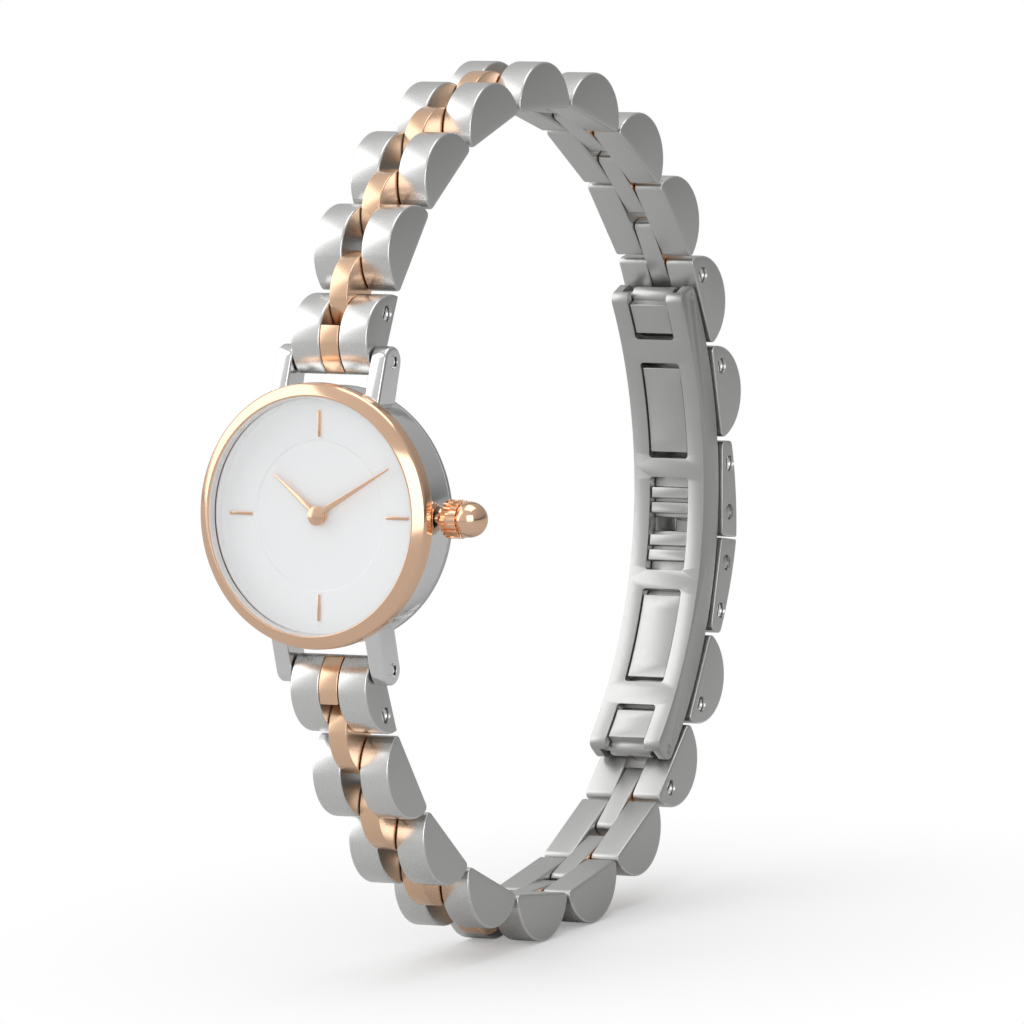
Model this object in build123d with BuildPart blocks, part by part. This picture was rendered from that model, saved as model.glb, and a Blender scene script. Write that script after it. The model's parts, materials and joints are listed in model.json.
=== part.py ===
"""Small bracelet watch: round case, crown, link bracelet and double folding clasp.

Frame: X is the bracelet's width with the crown on +X, -Y is the way the dial faces,
+Z is 12 o'clock and up. The loop stands on its lowest links. Lengths are millimetres.
"""

import os
from math import acos, asin, atan2, cos, degrees, hypot, radians, sin, sqrt, tan

from build123d import *

# Bracelet loop
link_pitch = 7.8
link_gap = 0.45
upper_rows = 11
lower_rows = 10
loop_depth_share = 0.865
spring_bar_from_case = 2.0
rows_before_foot = 15

# Links
side_link_width = 2.5
centre_link_width = 1.6
link_side_clearance = 0.06
link_flat_depth = 1.05
link_corner_radius = 0.45
centre_link_gap = 1.1
centre_flat_inset = 0.1
end_link_drop = 0.45
end_link_crown_share = 0.1
pin_spacing = 3.8
pin_radius = 0.45
pin_running_clearance = 0.04
pin_recess = 0.12
screwed_pin_rows = {"first": (8, 9, 10), "last": (0, 11, 12, 13)}

# The two links that meet over the clasp
meeting_gap = 0.16
meeting_end_depth = 2.2
meeting_middle_depth = 2.05
meeting_narrow_depth = 1.4
meeting_corner_radius = 0.6
meeting_edge_round = 0.12
meeting_inner_round = 0.25

# Case
bezel_overhang = 0.3
bezel_depth = 1.9
bezel_slope_width = 1.0
bezel_edge_round = 0.3
bezel_slope_drop = 0.55
bezel_inner_rim = 0.12
bezel_side_foot = 0.35
crystal_below_front = 0.1
case_radius = 9.7
case_band_depth = 2.6
case_wall = 0.9
caseback_depth = 0.9
caseback_slope_width = 0.8
caseback_step = 0.35
spring_bar_from_front = 4.2

# Lugs and spring bars
lug_width = 1.35
lug_end_radius = 1.15
lug_inner_clearance = 0.12
lug_root_inset = 0.35
lug_root_radius = 0.3
lug_root_sink = 0.3
spring_bar_radius = 0.65
spring_bar_tip_radius = 0.4

# Crystal, dial and hands
crystal_thickness = 0.7
gasket_thickness = 0.15
dial_clearance = 0.1
dial_thickness = 0.35
dial_step_radius = 5.7
dial_step_depth = 0.1
dial_rim_width = 0.3
dial_rim_height = 0.5
dial_hole_radius = 0.55
marker_length = 2.0
marker_width = 0.24
marker_height = 0.12
marker_rim_gap = 1.0
hand_thickness = 0.12
hand_lift = 0.18
hand_gap = 0.14
minute_hand_length = 7.4
hour_hand_length = 4.9
hand_root_width = 0.5
hand_tip_width = 0.12
hand_boss_radius = 0.72
minute_arbor_radius = 0.22
hour_tube_radius = 0.4
minute_hand_angle = 60.0
hour_hand_angle = 308.0

# Movement
movement_clearance = 0.8
movement_thickness = 2.2
movement_gap = 0.05
caseback_plug_depth = 0.2
caseback_plug_clearance = 0.05
battery_radius = 2.9
battery_thickness = 1.3
battery_offset = 4.2
battery_pocket_clearance = 0.1

# Crown
crown_radius = 1.45
crown_length = 1.9
crown_flute_count = 20
crown_flute_radius = 0.16
crown_dome_radius = 1.35
crown_gap = 0.25
crown_neck_radius = 0.95
crown_neck_length = 0.35
crown_pull = 0.8
stem_radius = 0.4
stem_reach = 3.4
sleeve_radius = 0.75
sleeve_length = 1.2
sleeve_wall_gap = 0.15
crown_from_front = 3.2

# Clasp
clasp_width = 6.3
clasp_wall = 0.7
clasp_base = 0.75
clasp_depth = 2.3
clasp_half_length = 19.8
clasp_under_links = 0.15
clasp_centre_shift = 0.75
clasp_end_round = 0.7
window_width = 3.5
window_corner = 0.3
centre_window_half = 3.9
side_window_start = 5.5
side_window_end = 13.7
notch_start = 15.8
arm_width = 3.6
arm_thickness = 0.65
arm_lift = 0.1
arm_pad_width = 3.3
arm_pad_gap = 0.5
arm_pad_sink = 0.12
arm_tip_half_gap = 0.55
arm_tip_width = 1.4
arm_tip_eye_radius = 0.85
arm_rib_gap = 0.35
arm_rib_length = 0.9
hinge_eye_radius = 0.72
hinge_pin_radius = 0.35
hinge_end_margin = 0.85
open_pivot_clearance = 0.1

cut_overrun = 1.0
quarter_turn = 90
full_turn = 360
halvings = 50

# The rows run from the upper spring bar over the top, down the back and round the bottom.
row_count = upper_rows + lower_rows
case_gap_half_height = case_radius + spring_bar_from_case - (link_pitch - pin_spacing) / 2


def loop_boundaries(half_height):
    """Row boundaries on the loop's ellipse, at equal chords, from the upper case gap round."""

    def place(turn):
        return (-loop_depth_share * half_height * cos(turn), half_height * sin(turn))

    turn = asin(case_gap_half_height / half_height)
    turns = [turn]
    for _ in range(row_count):
        low = turn
        high = turn + radians(quarter_turn)
        for _ in range(halvings):
            middle = (low + high) / 2
            y, z = place(middle)
            if hypot(y - place(turn)[0], z - place(turn)[1]) < link_pitch:
                low = middle
            else:
                high = middle
        turn = low
        turns.append(turn)
    return turns, [place(turn) for turn in turns]


def solve_half_height():
    """Half height at which the rows just fill the loop outside the case gap."""
    low = case_gap_half_height
    high = link_pitch * row_count
    for _ in range(halvings):
        middle = (low + high) / 2
        turns, _ = loop_boundaries(middle)
        if turns[-1] + turns[0] > radians(full_turn):
            low = middle
        else:
            high = middle
    return low


loop_half_height = solve_half_height()
boundaries = loop_boundaries(loop_half_height)[1]


class Row:
    """Place of one link row: its middle, its direction along the loop and its pins."""

    def __init__(self, start, end):
        self.middle = ((start[0] + end[0]) / 2, (start[1] + end[1]) / 2)
        length = hypot(end[0] - start[0], end[1] - start[1])
        self.along = ((end[0] - start[0]) / length, (end[1] - start[1]) / length)

    def point(self, t, n):
        """Point at t along the row and n outward, as (y, z)."""
        y = self.middle[0] + t * self.along[0] - n * self.along[1]
        z = self.middle[1] + t * self.along[1] + n * self.along[0]
        return (y, z)

    def plane(self, x):
        """Sketch plane at x whose first axis runs along the row and second points outward."""
        return Plane(
            origin=(x, self.middle[0], self.middle[1]),
            x_dir=(0, self.along[0], self.along[1]),
            z_dir=(1, 0, 0),
        )


rows = [Row(boundaries[i], boundaries[i + 1]) for i in range(row_count)]
first_pins = [row.point(-pin_spacing / 2, 0) for row in rows]
last_pins = [row.point(pin_spacing / 2, 0) for row in rows]
side_link_inner = centre_link_width / 2 + link_side_clearance
side_link_outer = side_link_inner + side_link_width
screwed_pins = [first_pins[i] for i in screwed_pin_rows["first"]]
screwed_pins += [last_pins[i] for i in screwed_pin_rows["last"]]
side_link_half_length = (link_pitch - link_gap) / 2
centre_link_half_length = (link_pitch - centre_link_gap) / 2
pin_hole_radius = pin_radius + pin_running_clearance
parts = {}
nodes_by_body = {}


def keep(builder, name, body):
    """Label a finished piece and remember the body that it moves with."""
    builder.part.label = name
    parts[name] = builder.part
    nodes_by_body.setdefault(body, []).append(name)


def half_round(half_length, flat_depth, corner):
    """Outline of a half-round link: flat towards the wrist, round outside."""
    with BuildSketch(mode=Mode.PRIVATE) as outline:
        with BuildLine():
            ThreePointArc(
                (-half_length, -flat_depth),
                (0, half_length - flat_depth),
                (half_length, -flat_depth),
            )
            Line((half_length, -flat_depth), (-half_length, -flat_depth))
        make_face()
        fillet(outline.vertices(), corner)
    return outline.sketch


def pin_length():
    """Length of a link pin, just short of both outer faces."""
    return 2 * (side_link_outer - pin_recess)


def across(point, x, radius, length):
    """Solid cylinder along the bracelet's width from x, for use outside the builders."""
    plane = Plane(origin=(x, point[0], point[1]), x_dir=(0, 1, 0), z_dir=(1, 0, 0))
    with BuildPart() as rod:
        with BuildSketch(plane):
            Circle(radius)
        extrude(amount=length)
    return rod.part


def through_bore(point, radius):
    """Cylinder that runs through both side links at a (y, z) point."""
    reach = side_link_outer + cut_overrun
    return across(point, -reach, radius, 2 * reach)


def side_links(row, outline, pins, holes):
    """Pair of side links with the pins that they carry, which show where they are screwed."""
    bores = [through_bore(pin, pin_radius) for pin in pins if pin in screwed_pins]
    bores += [through_bore(*hole) for hole in holes]
    rods = [across(pin, -pin_length() / 2, pin_radius, pin_length()) for pin in pins]
    with BuildPart() as links:
        for start in side_starts:
            with BuildSketch(row.plane(start)):
                add(outline)
            extrude(amount=side_link_width)
        if bores:
            add(bores, mode=Mode.SUBTRACT)
        add(rods)
    return links


def meeting_outline(half_bend, at_end):
    """Outline of a link that meets its neighbour over the clasp: square there, narrow at the other end."""
    square = link_pitch / 2 - meeting_gap / 2
    inner = -link_flat_depth
    narrow = (-side_link_half_length, inner + meeting_narrow_depth)
    crest = (0, inner + meeting_middle_depth)
    outer = inner + meeting_end_depth
    top = (square + outer * tan(half_bend), outer)
    bottom = (square + inner * tan(half_bend), inner)
    with BuildSketch(mode=Mode.PRIVATE) as outline:
        with BuildLine():
            ThreePointArc(narrow, crest, top)
            Polyline(top, bottom, (-side_link_half_length, inner), narrow)
        make_face()
        by_place = outline.vertices().sort_by(Axis.X)
        square_end = by_place[-2:].sort_by(Axis.Y)
        fillet(by_place[:2], meeting_corner_radius)
        fillet(square_end[0], meeting_inner_round)
        fillet(outline.vertices().sort_by(Axis.Y)[-1], meeting_edge_round)
        if not at_end:
            mirror(about=Plane.YZ, mode=Mode.REPLACE)
    return outline.sketch


def centre_link(row_before, row_after, fixed_pin, free_pin):
    """Half-round centre link that bridges two rows, with a tight and a running pin hole."""
    start = row_before.point(pin_spacing / 2, 0)
    end = row_after.point(-pin_spacing / 2, 0)
    bridge = Row(start, end)
    width = centre_link_width
    fixed = across(fixed_pin, -width / 2 - cut_overrun, pin_radius, width + 2 * cut_overrun)
    free = across(free_pin, -width / 2 - cut_overrun, pin_hole_radius, width + 2 * cut_overrun)
    flat = link_flat_depth - centre_flat_inset
    outline = half_round(centre_link_half_length, flat, link_corner_radius)
    with BuildPart() as link:
        with BuildSketch(bridge.plane(-width / 2)):
            add(outline)
        extrude(amount=width)
        add(fixed, mode=Mode.SUBTRACT)
        add(free, mode=Mode.SUBTRACT)
    return link


def end_outline(at_start):
    """Outline of an end link: an eye round the spring bar that grows into the half round."""
    reach = side_link_half_length
    eye = -pin_spacing / 2
    crown = (end_link_crown_share * reach, reach - link_flat_depth - end_link_drop)
    with BuildSketch(mode=Mode.PRIVATE) as outline:
        with BuildLine():
            ThreePointArc((reach, -link_flat_depth), crown, (eye - link_flat_depth, 0))
            RadiusArc((eye - link_flat_depth, 0), (eye, -link_flat_depth), -link_flat_depth)
            Line((eye, -link_flat_depth), (reach, -link_flat_depth))
        make_face()
        if not at_start:
            mirror(about=Plane.YZ, mode=Mode.REPLACE)
    return outline.sketch


def end_slices(row, at_start, starts, width):
    """Side slices or the short middle slice of an end link, bored for the spring bar."""
    bar = first_pins[0] if at_start else last_pins[-1]
    pin = last_pins[0] if at_start else first_pins[-1]
    bar_bore = through_bore(bar, bar_hole_radius)
    pin_bore = through_bore(pin, pin_radius)
    outline = end_outline(at_start)
    insert_end = link_pitch / 2 - centre_link_half_length - link_gap
    block = 2 * link_pitch
    hide = insert_end + block / 2
    with BuildPart() as slices:
        for start in starts:
            with BuildSketch(row.plane(start)):
                add(outline)
                if width < side_link_width:
                    with Locations((hide if at_start else -hide, 0)):
                        Rectangle(block, block, mode=Mode.SUBTRACT)
            extrude(amount=width)
        add(bar_bore, mode=Mode.SUBTRACT)
        if width == side_link_width:
            add(pin_bore, mode=Mode.SUBTRACT)
            add(across(pin, -pin_length() / 2, pin_radius, pin_length()))
    return slices


bar_hole_radius = spring_bar_radius + pin_running_clearance
arm_tip_hole_radius = pin_radius + open_pivot_clearance
side_starts = (-side_link_outer, side_link_inner)
insert_starts = (-centre_link_width / 2,)
link_outline = half_round(side_link_half_length, link_flat_depth, link_corner_radius)
before_meeting = rows[upper_rows - 1].along
after_meeting = rows[upper_rows].along
meeting_bend = acos(before_meeting[0] * after_meeting[0] + before_meeting[1] * after_meeting[1])

# Upper half of the bracelet: each body swings about its own first pin
for i in range(upper_rows):
    body = f"upper_{i:02d}"
    if i == 0:
        sides = end_slices(rows[0], True, side_starts, side_link_width)
        insert = end_slices(rows[0], True, insert_starts, centre_link_width)
        keep(insert, "upper_end_insert", body)
    elif i < upper_rows - 1:
        sides = side_links(rows[i], link_outline, [first_pins[i], last_pins[i]], [])
    else:
        outline = meeting_outline(meeting_bend / 2, True)
        sides = side_links(rows[i], outline, [first_pins[i]], [(last_pins[i], arm_tip_hole_radius)])
    keep(sides, f"upper_side_links_{i:02d}", body)
    if i < upper_rows - 1:
        link = centre_link(rows[i], rows[i + 1], last_pins[i], first_pins[i + 1])
        keep(link, f"upper_centre_link_{i:02d}", body)

# Lower half: the same links, counted from the case, each swinging about its last pin
for i in range(lower_rows):
    body = f"lower_{i:02d}"
    at = row_count - 1 - i
    if i == 0:
        sides = end_slices(rows[at], False, side_starts, side_link_width)
        insert = end_slices(rows[at], False, insert_starts, centre_link_width)
        keep(insert, "lower_end_insert", body)
    elif i < lower_rows - 1:
        sides = side_links(rows[at], link_outline, [first_pins[at], last_pins[at]], [])
    else:
        outline = meeting_outline(meeting_bend / 2, False)
        sides = side_links(rows[at], outline, [last_pins[at]], [(first_pins[at], pin_hole_radius)])
    keep(sides, f"lower_side_links_{i:02d}", body)
    if i < lower_rows - 1:
        link = centre_link(rows[at - 1], rows[at], first_pins[at], last_pins[at - 1])
        keep(link, f"lower_centre_link_{i:02d}", body)


def circle_through(a, b, c):
    """Centre and radius of the circle through three (y, z) points."""
    d = 2 * (a[0] * (b[1] - c[1]) + b[0] * (c[1] - a[1]) + c[0] * (a[1] - b[1]))
    squares = [p[0] ** 2 + p[1] ** 2 for p in (a, b, c)]
    y = (squares[0] * (b[1] - c[1]) + squares[1] * (c[1] - a[1]) + squares[2] * (a[1] - b[1])) / d
    z = (squares[0] * (c[0] - b[0]) + squares[1] * (a[0] - c[0]) + squares[2] * (b[0] - a[0])) / d
    return (y, z), hypot(a[0] - y, a[1] - z)


# Clasp: a curved channel under the last links, with two arms folded into it
clasp_centre, clasp_path_radius = circle_through(
    boundaries[upper_rows - 2], boundaries[upper_rows], boundaries[upper_rows + 2]
)
clasp_middle_turn = atan2(
    boundaries[upper_rows][1] - clasp_centre[1], boundaries[upper_rows][0] - clasp_centre[0]
)
flat_points = [
    rows[i].point(t, -link_flat_depth)
    for i in range(upper_rows - 3, upper_rows + 3)
    for t in (-side_link_half_length, 0, side_link_half_length)
]
under_flats = [
    hypot(p[0] - clasp_centre[0], p[1] - clasp_centre[1])
    for p in flat_points
    if abs(p[1] - boundaries[upper_rows][1]) < clasp_half_length
]
clasp_outer = min(under_flats) - clasp_under_links
clasp_inner = clasp_outer - clasp_depth
clasp_floor = clasp_inner + clasp_base


def clasp_point(s, radius):
    """Point at arc length s up from the clasp's middle and at a radius, as local (y, z)."""
    turn = clasp_middle_turn + (s + clasp_centre_shift) / clasp_outer
    return (radius * cos(turn), radius * sin(turn))


def clasp_plane(x):
    """Sketch plane at x centred on the clasp's own circle."""
    return Plane(origin=(x, clasp_centre[0], clasp_centre[1]), x_dir=(0, 1, 0), z_dir=(1, 0, 0))


def sector(s_low, s_high, r_low, r_high):
    """Curved bar between two arc lengths and two radii."""
    s_mid = (s_low + s_high) / 2
    with BuildSketch(mode=Mode.PRIVATE) as bar:
        with BuildLine():
            outer = [clasp_point(s, r_high) for s in (s_low, s_mid, s_high)]
            inner = [clasp_point(s, r_low) for s in (s_low, s_mid, s_high)]
            ThreePointArc(*outer)
            Line(outer[2], inner[2])
            ThreePointArc(*inner)
            Line(inner[0], outer[0])
        make_face()
    return bar.sketch


def curved_bar(s_low, s_high, r_low, r_high, width):
    """Solid curved bar centred on the bracelet's width, for use outside the builders."""
    with BuildPart() as bar:
        with BuildSketch(clasp_plane(-width / 2)):
            add(sector(s_low, s_high, r_low, r_high))
        extrude(amount=width)
    return bar.part


def clasp_rod(s, radius, rod_radius, length):
    """Solid rod across the clasp at arc length s and a radius from the clasp's centre."""
    y, z = clasp_point(s, radius)
    return across((clasp_centre[0] + y, clasp_centre[1] + z), -length / 2, rod_radius, length)


hinge_s = clasp_half_length - hinge_end_margin
hinge_radius = clasp_floor + arm_lift + hinge_eye_radius
arm_low = clasp_floor + arm_lift
arm_high = arm_low + arm_thickness
pad_low = clasp_inner + arm_pad_sink
channel_width = clasp_width - 2 * clasp_wall


def window(s_low, s_high):
    """Rounded opening through the channel's base between two arc lengths."""
    opening = curved_bar(s_low, s_high, clasp_inner - cut_overrun, clasp_floor + cut_overrun, window_width)
    with BuildPart() as rounded:
        add(opening)
        corners = rounded.edges().filter_by(GeomType.LINE).filter_by(Axis.X, reverse=True)
        fillet(corners, window_corner)
    return rounded.part


channel_hollow = curved_bar(
    -clasp_half_length - cut_overrun, clasp_half_length + cut_overrun,
    clasp_floor, clasp_outer + cut_overrun, channel_width,
)
notch_end = clasp_half_length + cut_overrun

with BuildPart() as clasp_channel:
    with BuildSketch(clasp_plane(-clasp_width / 2)) as channel_side:
        add(sector(-clasp_half_length, clasp_half_length, clasp_inner, clasp_outer))
        fillet(channel_side.vertices(), clasp_end_round)
    extrude(amount=clasp_width)
    add(channel_hollow, mode=Mode.SUBTRACT)
    add(window(-centre_window_half, centre_window_half), mode=Mode.SUBTRACT)
    for way in (-1, 1):
        side_window = sorted((way * side_window_start, way * side_window_end))
        end_notch = sorted((way * notch_start, way * notch_end))
        add(window(*side_window), mode=Mode.SUBTRACT)
        add(window(*end_notch), mode=Mode.SUBTRACT)
        bore = clasp_rod(way * hinge_s, hinge_radius, hinge_pin_radius, clasp_width + 2 * cut_overrun)
        add(bore, mode=Mode.SUBTRACT)
        add(clasp_rod(way * hinge_s, hinge_radius, hinge_pin_radius, clasp_width - 2 * pin_recess))
keep(clasp_channel, "clasp_channel", "clasp_channel")


def clasp_arm(way, tip_pin):
    """Folding arm from its hinge eye to the tip that carries the last link's pin."""
    tip_s = way * arm_tip_half_gap
    pad_spans = [
        (side_window_start + arm_pad_gap, side_window_end - arm_pad_gap),
        (notch_start + arm_pad_gap, hinge_s),
        (arm_tip_half_gap + arm_rib_gap, arm_tip_half_gap + arm_rib_gap + arm_rib_length),
        (
            arm_tip_half_gap + 2 * arm_rib_gap + arm_rib_length,
            arm_tip_half_gap + 2 * arm_rib_gap + 2 * arm_rib_length,
        ),
    ]
    blade_span = sorted((tip_s, way * hinge_s))
    pin_y = tip_pin[0] - clasp_centre[0]
    pin_z = tip_pin[1] - clasp_centre[1]
    lug_plane = clasp_plane(-arm_tip_width / 2)
    root = arm_low + arm_thickness / 2
    reach = hypot(pin_y, pin_z)
    with BuildPart() as arm:
        add(curved_bar(*blade_span, arm_low, arm_high, arm_width))
        for span in pad_spans:
            ends = sorted((way * span[0], way * span[1]))
            add(curved_bar(*ends, pad_low, arm_low + arm_thickness / 2, arm_pad_width))
        add(clasp_rod(way * hinge_s, hinge_radius, hinge_eye_radius, arm_width))
        with BuildSketch(lug_plane):
            with Locations((pin_y, pin_z)):
                Circle(arm_tip_eye_radius)
            with Locations((pin_y * root / reach, pin_z * root / reach)):
                Circle(arm_thickness / 2)
            make_hull()
        extrude(amount=arm_tip_width)
        add(across(tip_pin, -pin_length() / 2, pin_radius, pin_length()))
        hole = clasp_rod(
            way * hinge_s, hinge_radius, hinge_pin_radius + pin_running_clearance,
            arm_width + 2 * cut_overrun,
        )
        add(hole, mode=Mode.SUBTRACT)
    return arm


keep(clasp_arm(1, last_pins[upper_rows - 1]), "clasp_upper_arm", "clasp_upper_arm")
keep(clasp_arm(-1, first_pins[upper_rows]), "clasp_lower_arm", "clasp_lower_arm")

# Case planes, as Y from front to back
front = first_pins[0][0] - spring_bar_from_front
band_front = front + bezel_depth
band_back = band_front + case_band_depth
case_back = band_back + caseback_depth
crown_y = front + crown_from_front
crystal_front = front + crystal_below_front
crystal_back = crystal_front + crystal_thickness
dial_front = band_front - dial_thickness
bezel_radius = case_radius + bezel_overhang
bezel_opening = bezel_radius - bezel_slope_width
cavity_radius = case_radius - case_wall
caseback_radius = case_radius - caseback_slope_width
dial_radius = bezel_opening - dial_clearance
movement_radius = cavity_radius - movement_clearance
marker_middle = dial_radius - marker_rim_gap - marker_length / 2
marker_count = 4


def facing(y):
    """Plane at depth y that looks along -Y, as the dial does, with X to the right."""
    return Plane(origin=(0, y, 0), x_dir=(1, 0, 0), z_dir=(0, -1, 0))


def turned(points):
    """Solid turned about the dial's axis from a closed outline of (radius, y) points."""
    with BuildPart() as body:
        with BuildSketch(Plane.XY):
            with BuildLine():
                Polyline(*points, close=True)
            make_face()
        revolve(axis=Axis.Y)
    return body.part


with BuildPart() as bezel:
    add(turned([
        (bezel_opening, front),
        (bezel_opening + bezel_inner_rim, front),
        (bezel_radius, front + bezel_slope_drop),
        (bezel_radius, band_front - bezel_side_foot),
        (case_radius, band_front),
        (bezel_opening, band_front),
    ]))
    rim = bezel.edges().filter_by(GeomType.CIRCLE).group_by(SortBy.RADIUS)[-1]
    fillet(rim, bezel_edge_round)
keep(bezel, "bezel", "case")

with BuildPart() as crystal:
    with BuildSketch(facing(crystal_back)):
        Circle(bezel_opening - gasket_thickness)
    extrude(amount=crystal_thickness)
    chamfer(crystal.edges().group_by(Axis.Y)[0], crystal_below_front)
keep(crystal, "crystal", "case")

with BuildPart() as case_gaskets:
    with BuildSketch(facing(crystal_back)):
        Circle(bezel_opening)
        Circle(bezel_opening - gasket_thickness, mode=Mode.SUBTRACT)
    extrude(amount=crystal_thickness - crystal_below_front)
    with BuildSketch(facing(band_back)):
        Circle(cavity_radius)
        Circle(cavity_radius - gasket_thickness, mode=Mode.SUBTRACT)
    extrude(amount=caseback_plug_depth)
keep(case_gaskets, "case_gaskets", "case")

lug_root_z = sqrt(case_radius**2 - (side_link_outer + lug_inner_clearance + lug_width) ** 2)
with BuildPart() as case_band:
    with BuildSketch(facing(band_back)):
        Circle(case_radius)
    extrude(amount=case_band_depth)
    for way in (-1, 1):
        inner = side_link_outer + lug_inner_clearance
        start = inner if way > 0 else -inner - lug_width
        for bar in (first_pins[0], last_pins[-1]):
            up = 1 if bar[1] > 0 else -1
            with BuildSketch(Plane(origin=(start, 0, 0), x_dir=(0, 1, 0), z_dir=(1, 0, 0))):
                with Locations(bar):
                    Circle(lug_end_radius)
                root = up * (lug_root_z - lug_root_sink)
                with Locations((band_front + lug_root_inset, root), (band_back - lug_root_inset, root)):
                    Circle(lug_root_radius)
                make_hull()
            extrude(amount=lug_width)
    with BuildSketch(facing(band_back + cut_overrun)):
        Circle(cavity_radius)
    extrude(amount=case_band_depth + 2 * cut_overrun, mode=Mode.SUBTRACT)
    with BuildSketch(facing(case_back + cut_overrun)):
        Circle(case_radius)
    extrude(amount=caseback_depth + cut_overrun, mode=Mode.SUBTRACT)
    for bar in (first_pins[0], last_pins[-1]):
        add(across(bar, -case_radius, spring_bar_tip_radius, 2 * case_radius), mode=Mode.SUBTRACT)
    stem_bore = across((crown_y, 0), 0, stem_radius + pin_running_clearance, 2 * case_radius)
    add(stem_bore, mode=Mode.SUBTRACT)
keep(case_band, "case_band", "case")

with BuildPart() as caseback:
    add(turned([
        (0, band_back),
        (cavity_radius - gasket_thickness - caseback_plug_clearance, band_back),
        (case_radius, band_back),
        (case_radius, band_back + caseback_step),
        (caseback_radius, case_back),
        (0, case_back),
    ]))
keep(caseback, "caseback", "case")

with BuildPart() as spring_bars:
    for bar in (first_pins[0], last_pins[-1]):
        add(across(bar, -side_link_outer, spring_bar_radius, 2 * side_link_outer))
        tip_reach = side_link_outer + lug_inner_clearance + lug_width - pin_recess
        add(across(bar, -tip_reach, spring_bar_tip_radius, 2 * tip_reach))
keep(spring_bars, "spring_bars", "case")

with BuildPart() as dial:
    add(turned([
        (dial_hole_radius, dial_front + dial_step_depth),
        (dial_step_radius, dial_front + dial_step_depth),
        (dial_step_radius, dial_front),
        (dial_radius - dial_rim_width, dial_front),
        (dial_radius - dial_rim_width / 2, dial_front - dial_rim_height),
        (dial_radius, dial_front - dial_rim_height),
        (dial_radius, band_front),
        (dial_hole_radius, band_front),
    ]))
keep(dial, "dial", "case")

with BuildPart() as hour_markers:
    with BuildSketch(facing(dial_front)):
        with PolarLocations(marker_middle, marker_count):
            RectangleRounded(marker_length, marker_width, marker_width / 3)
    extrude(amount=marker_height)
keep(hour_markers, "hour_markers", "case")

hour_hand_back = dial_front - hand_lift
minute_hand_back = hour_hand_back - hand_thickness - hand_gap


def hand(back, length, angle, hub_radius, hub_length, bore_radius):
    """Tapered hand with a round boss and a hub that reaches back through the dial."""
    turn = radians(angle)
    tip = (length * sin(turn), length * cos(turn))
    side = (hand_root_width / 2 * cos(turn), -hand_root_width / 2 * sin(turn))
    tip_side = (hand_tip_width / 2 * cos(turn), -hand_tip_width / 2 * sin(turn))
    with BuildPart() as blade:
        with BuildSketch(facing(back)):
            with BuildLine():
                Polyline(
                    side,
                    (tip[0] + tip_side[0], tip[1] + tip_side[1]),
                    (tip[0] - tip_side[0], tip[1] - tip_side[1]),
                    (-side[0], -side[1]),
                    close=True,
                )
            make_face()
            Circle(hand_boss_radius)
        extrude(amount=hand_thickness)
        with BuildSketch(facing(back + hub_length)):
            Circle(hub_radius)
        extrude(amount=hub_length)
        if bore_radius:
            with BuildSketch(facing(back + hub_length + cut_overrun)):
                Circle(bore_radius)
            extrude(amount=hub_length + hand_thickness + 2 * cut_overrun, mode=Mode.SUBTRACT)
    return blade


arbor_bore = minute_arbor_radius + pin_running_clearance
hub_reach = band_front + movement_gap - hour_hand_back
hour_hand = hand(hour_hand_back, hour_hand_length, hour_hand_angle, hour_tube_radius, hub_reach, arbor_bore)
keep(hour_hand, "hour_hand", "hour_hand")
arbor_reach = hub_reach + hour_hand_back - minute_hand_back
no_bore = 0
minute_hand = hand(
    minute_hand_back, minute_hand_length, minute_hand_angle, minute_arbor_radius, arbor_reach, no_bore
)
keep(minute_hand, "minute_hand", "minute_hand")

movement_front = band_front + 2 * movement_gap
movement_back = movement_front + movement_thickness
stem_room = sleeve_radius + pin_running_clearance
with BuildPart() as movement:
    with BuildSketch(facing(movement_back)):
        Circle(movement_radius)
    extrude(amount=movement_thickness)
    with BuildSketch(facing(movement_back + cut_overrun)):
        with Locations((-battery_offset, 0)):
            Circle(battery_radius + battery_pocket_clearance)
    extrude(amount=battery_thickness + cut_overrun, mode=Mode.SUBTRACT)
    stem_start = case_radius - stem_reach - crown_pull
    add(across((crown_y, 0), stem_start, stem_room, case_radius), mode=Mode.SUBTRACT)
keep(movement, "movement", "case")

with BuildPart() as battery:
    with BuildSketch(facing(movement_back)):
        with Locations((-battery_offset, 0)):
            Circle(battery_radius)
    extrude(amount=battery_thickness)
keep(battery, "battery", "case")

# Crown, stem and the sleeve that slides with them
crown_start = case_radius + crown_gap
crown_plane = Plane(origin=(crown_start, crown_y, 0), x_dir=(0, 1, 0), z_dir=(1, 0, 0))
dome_start = crown_start + crown_neck_length + crown_length
with BuildPart() as crown:
    with BuildSketch(crown_plane):
        Circle(crown_neck_radius)
    extrude(amount=crown_neck_length)
    with BuildSketch(crown_plane.offset(crown_neck_length)):
        Circle(crown_radius)
        with PolarLocations(crown_radius, crown_flute_count):
            Circle(crown_flute_radius, mode=Mode.SUBTRACT)
    extrude(amount=crown_length)
    with Locations((dome_start, crown_y, 0)):
        Sphere(crown_dome_radius)
    bore = across((crown_y, 0), crown_start - cut_overrun, stem_radius, cut_overrun + crown_neck_length)
    add(bore, mode=Mode.SUBTRACT)
keep(crown, "crown", "crown")

stem_end = case_radius - stem_reach
with BuildPart() as crown_stem:
    add(across((crown_y, 0), stem_end, stem_radius, crown_start + crown_neck_length - stem_end))
keep(crown_stem, "crown_stem", "crown")

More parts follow.
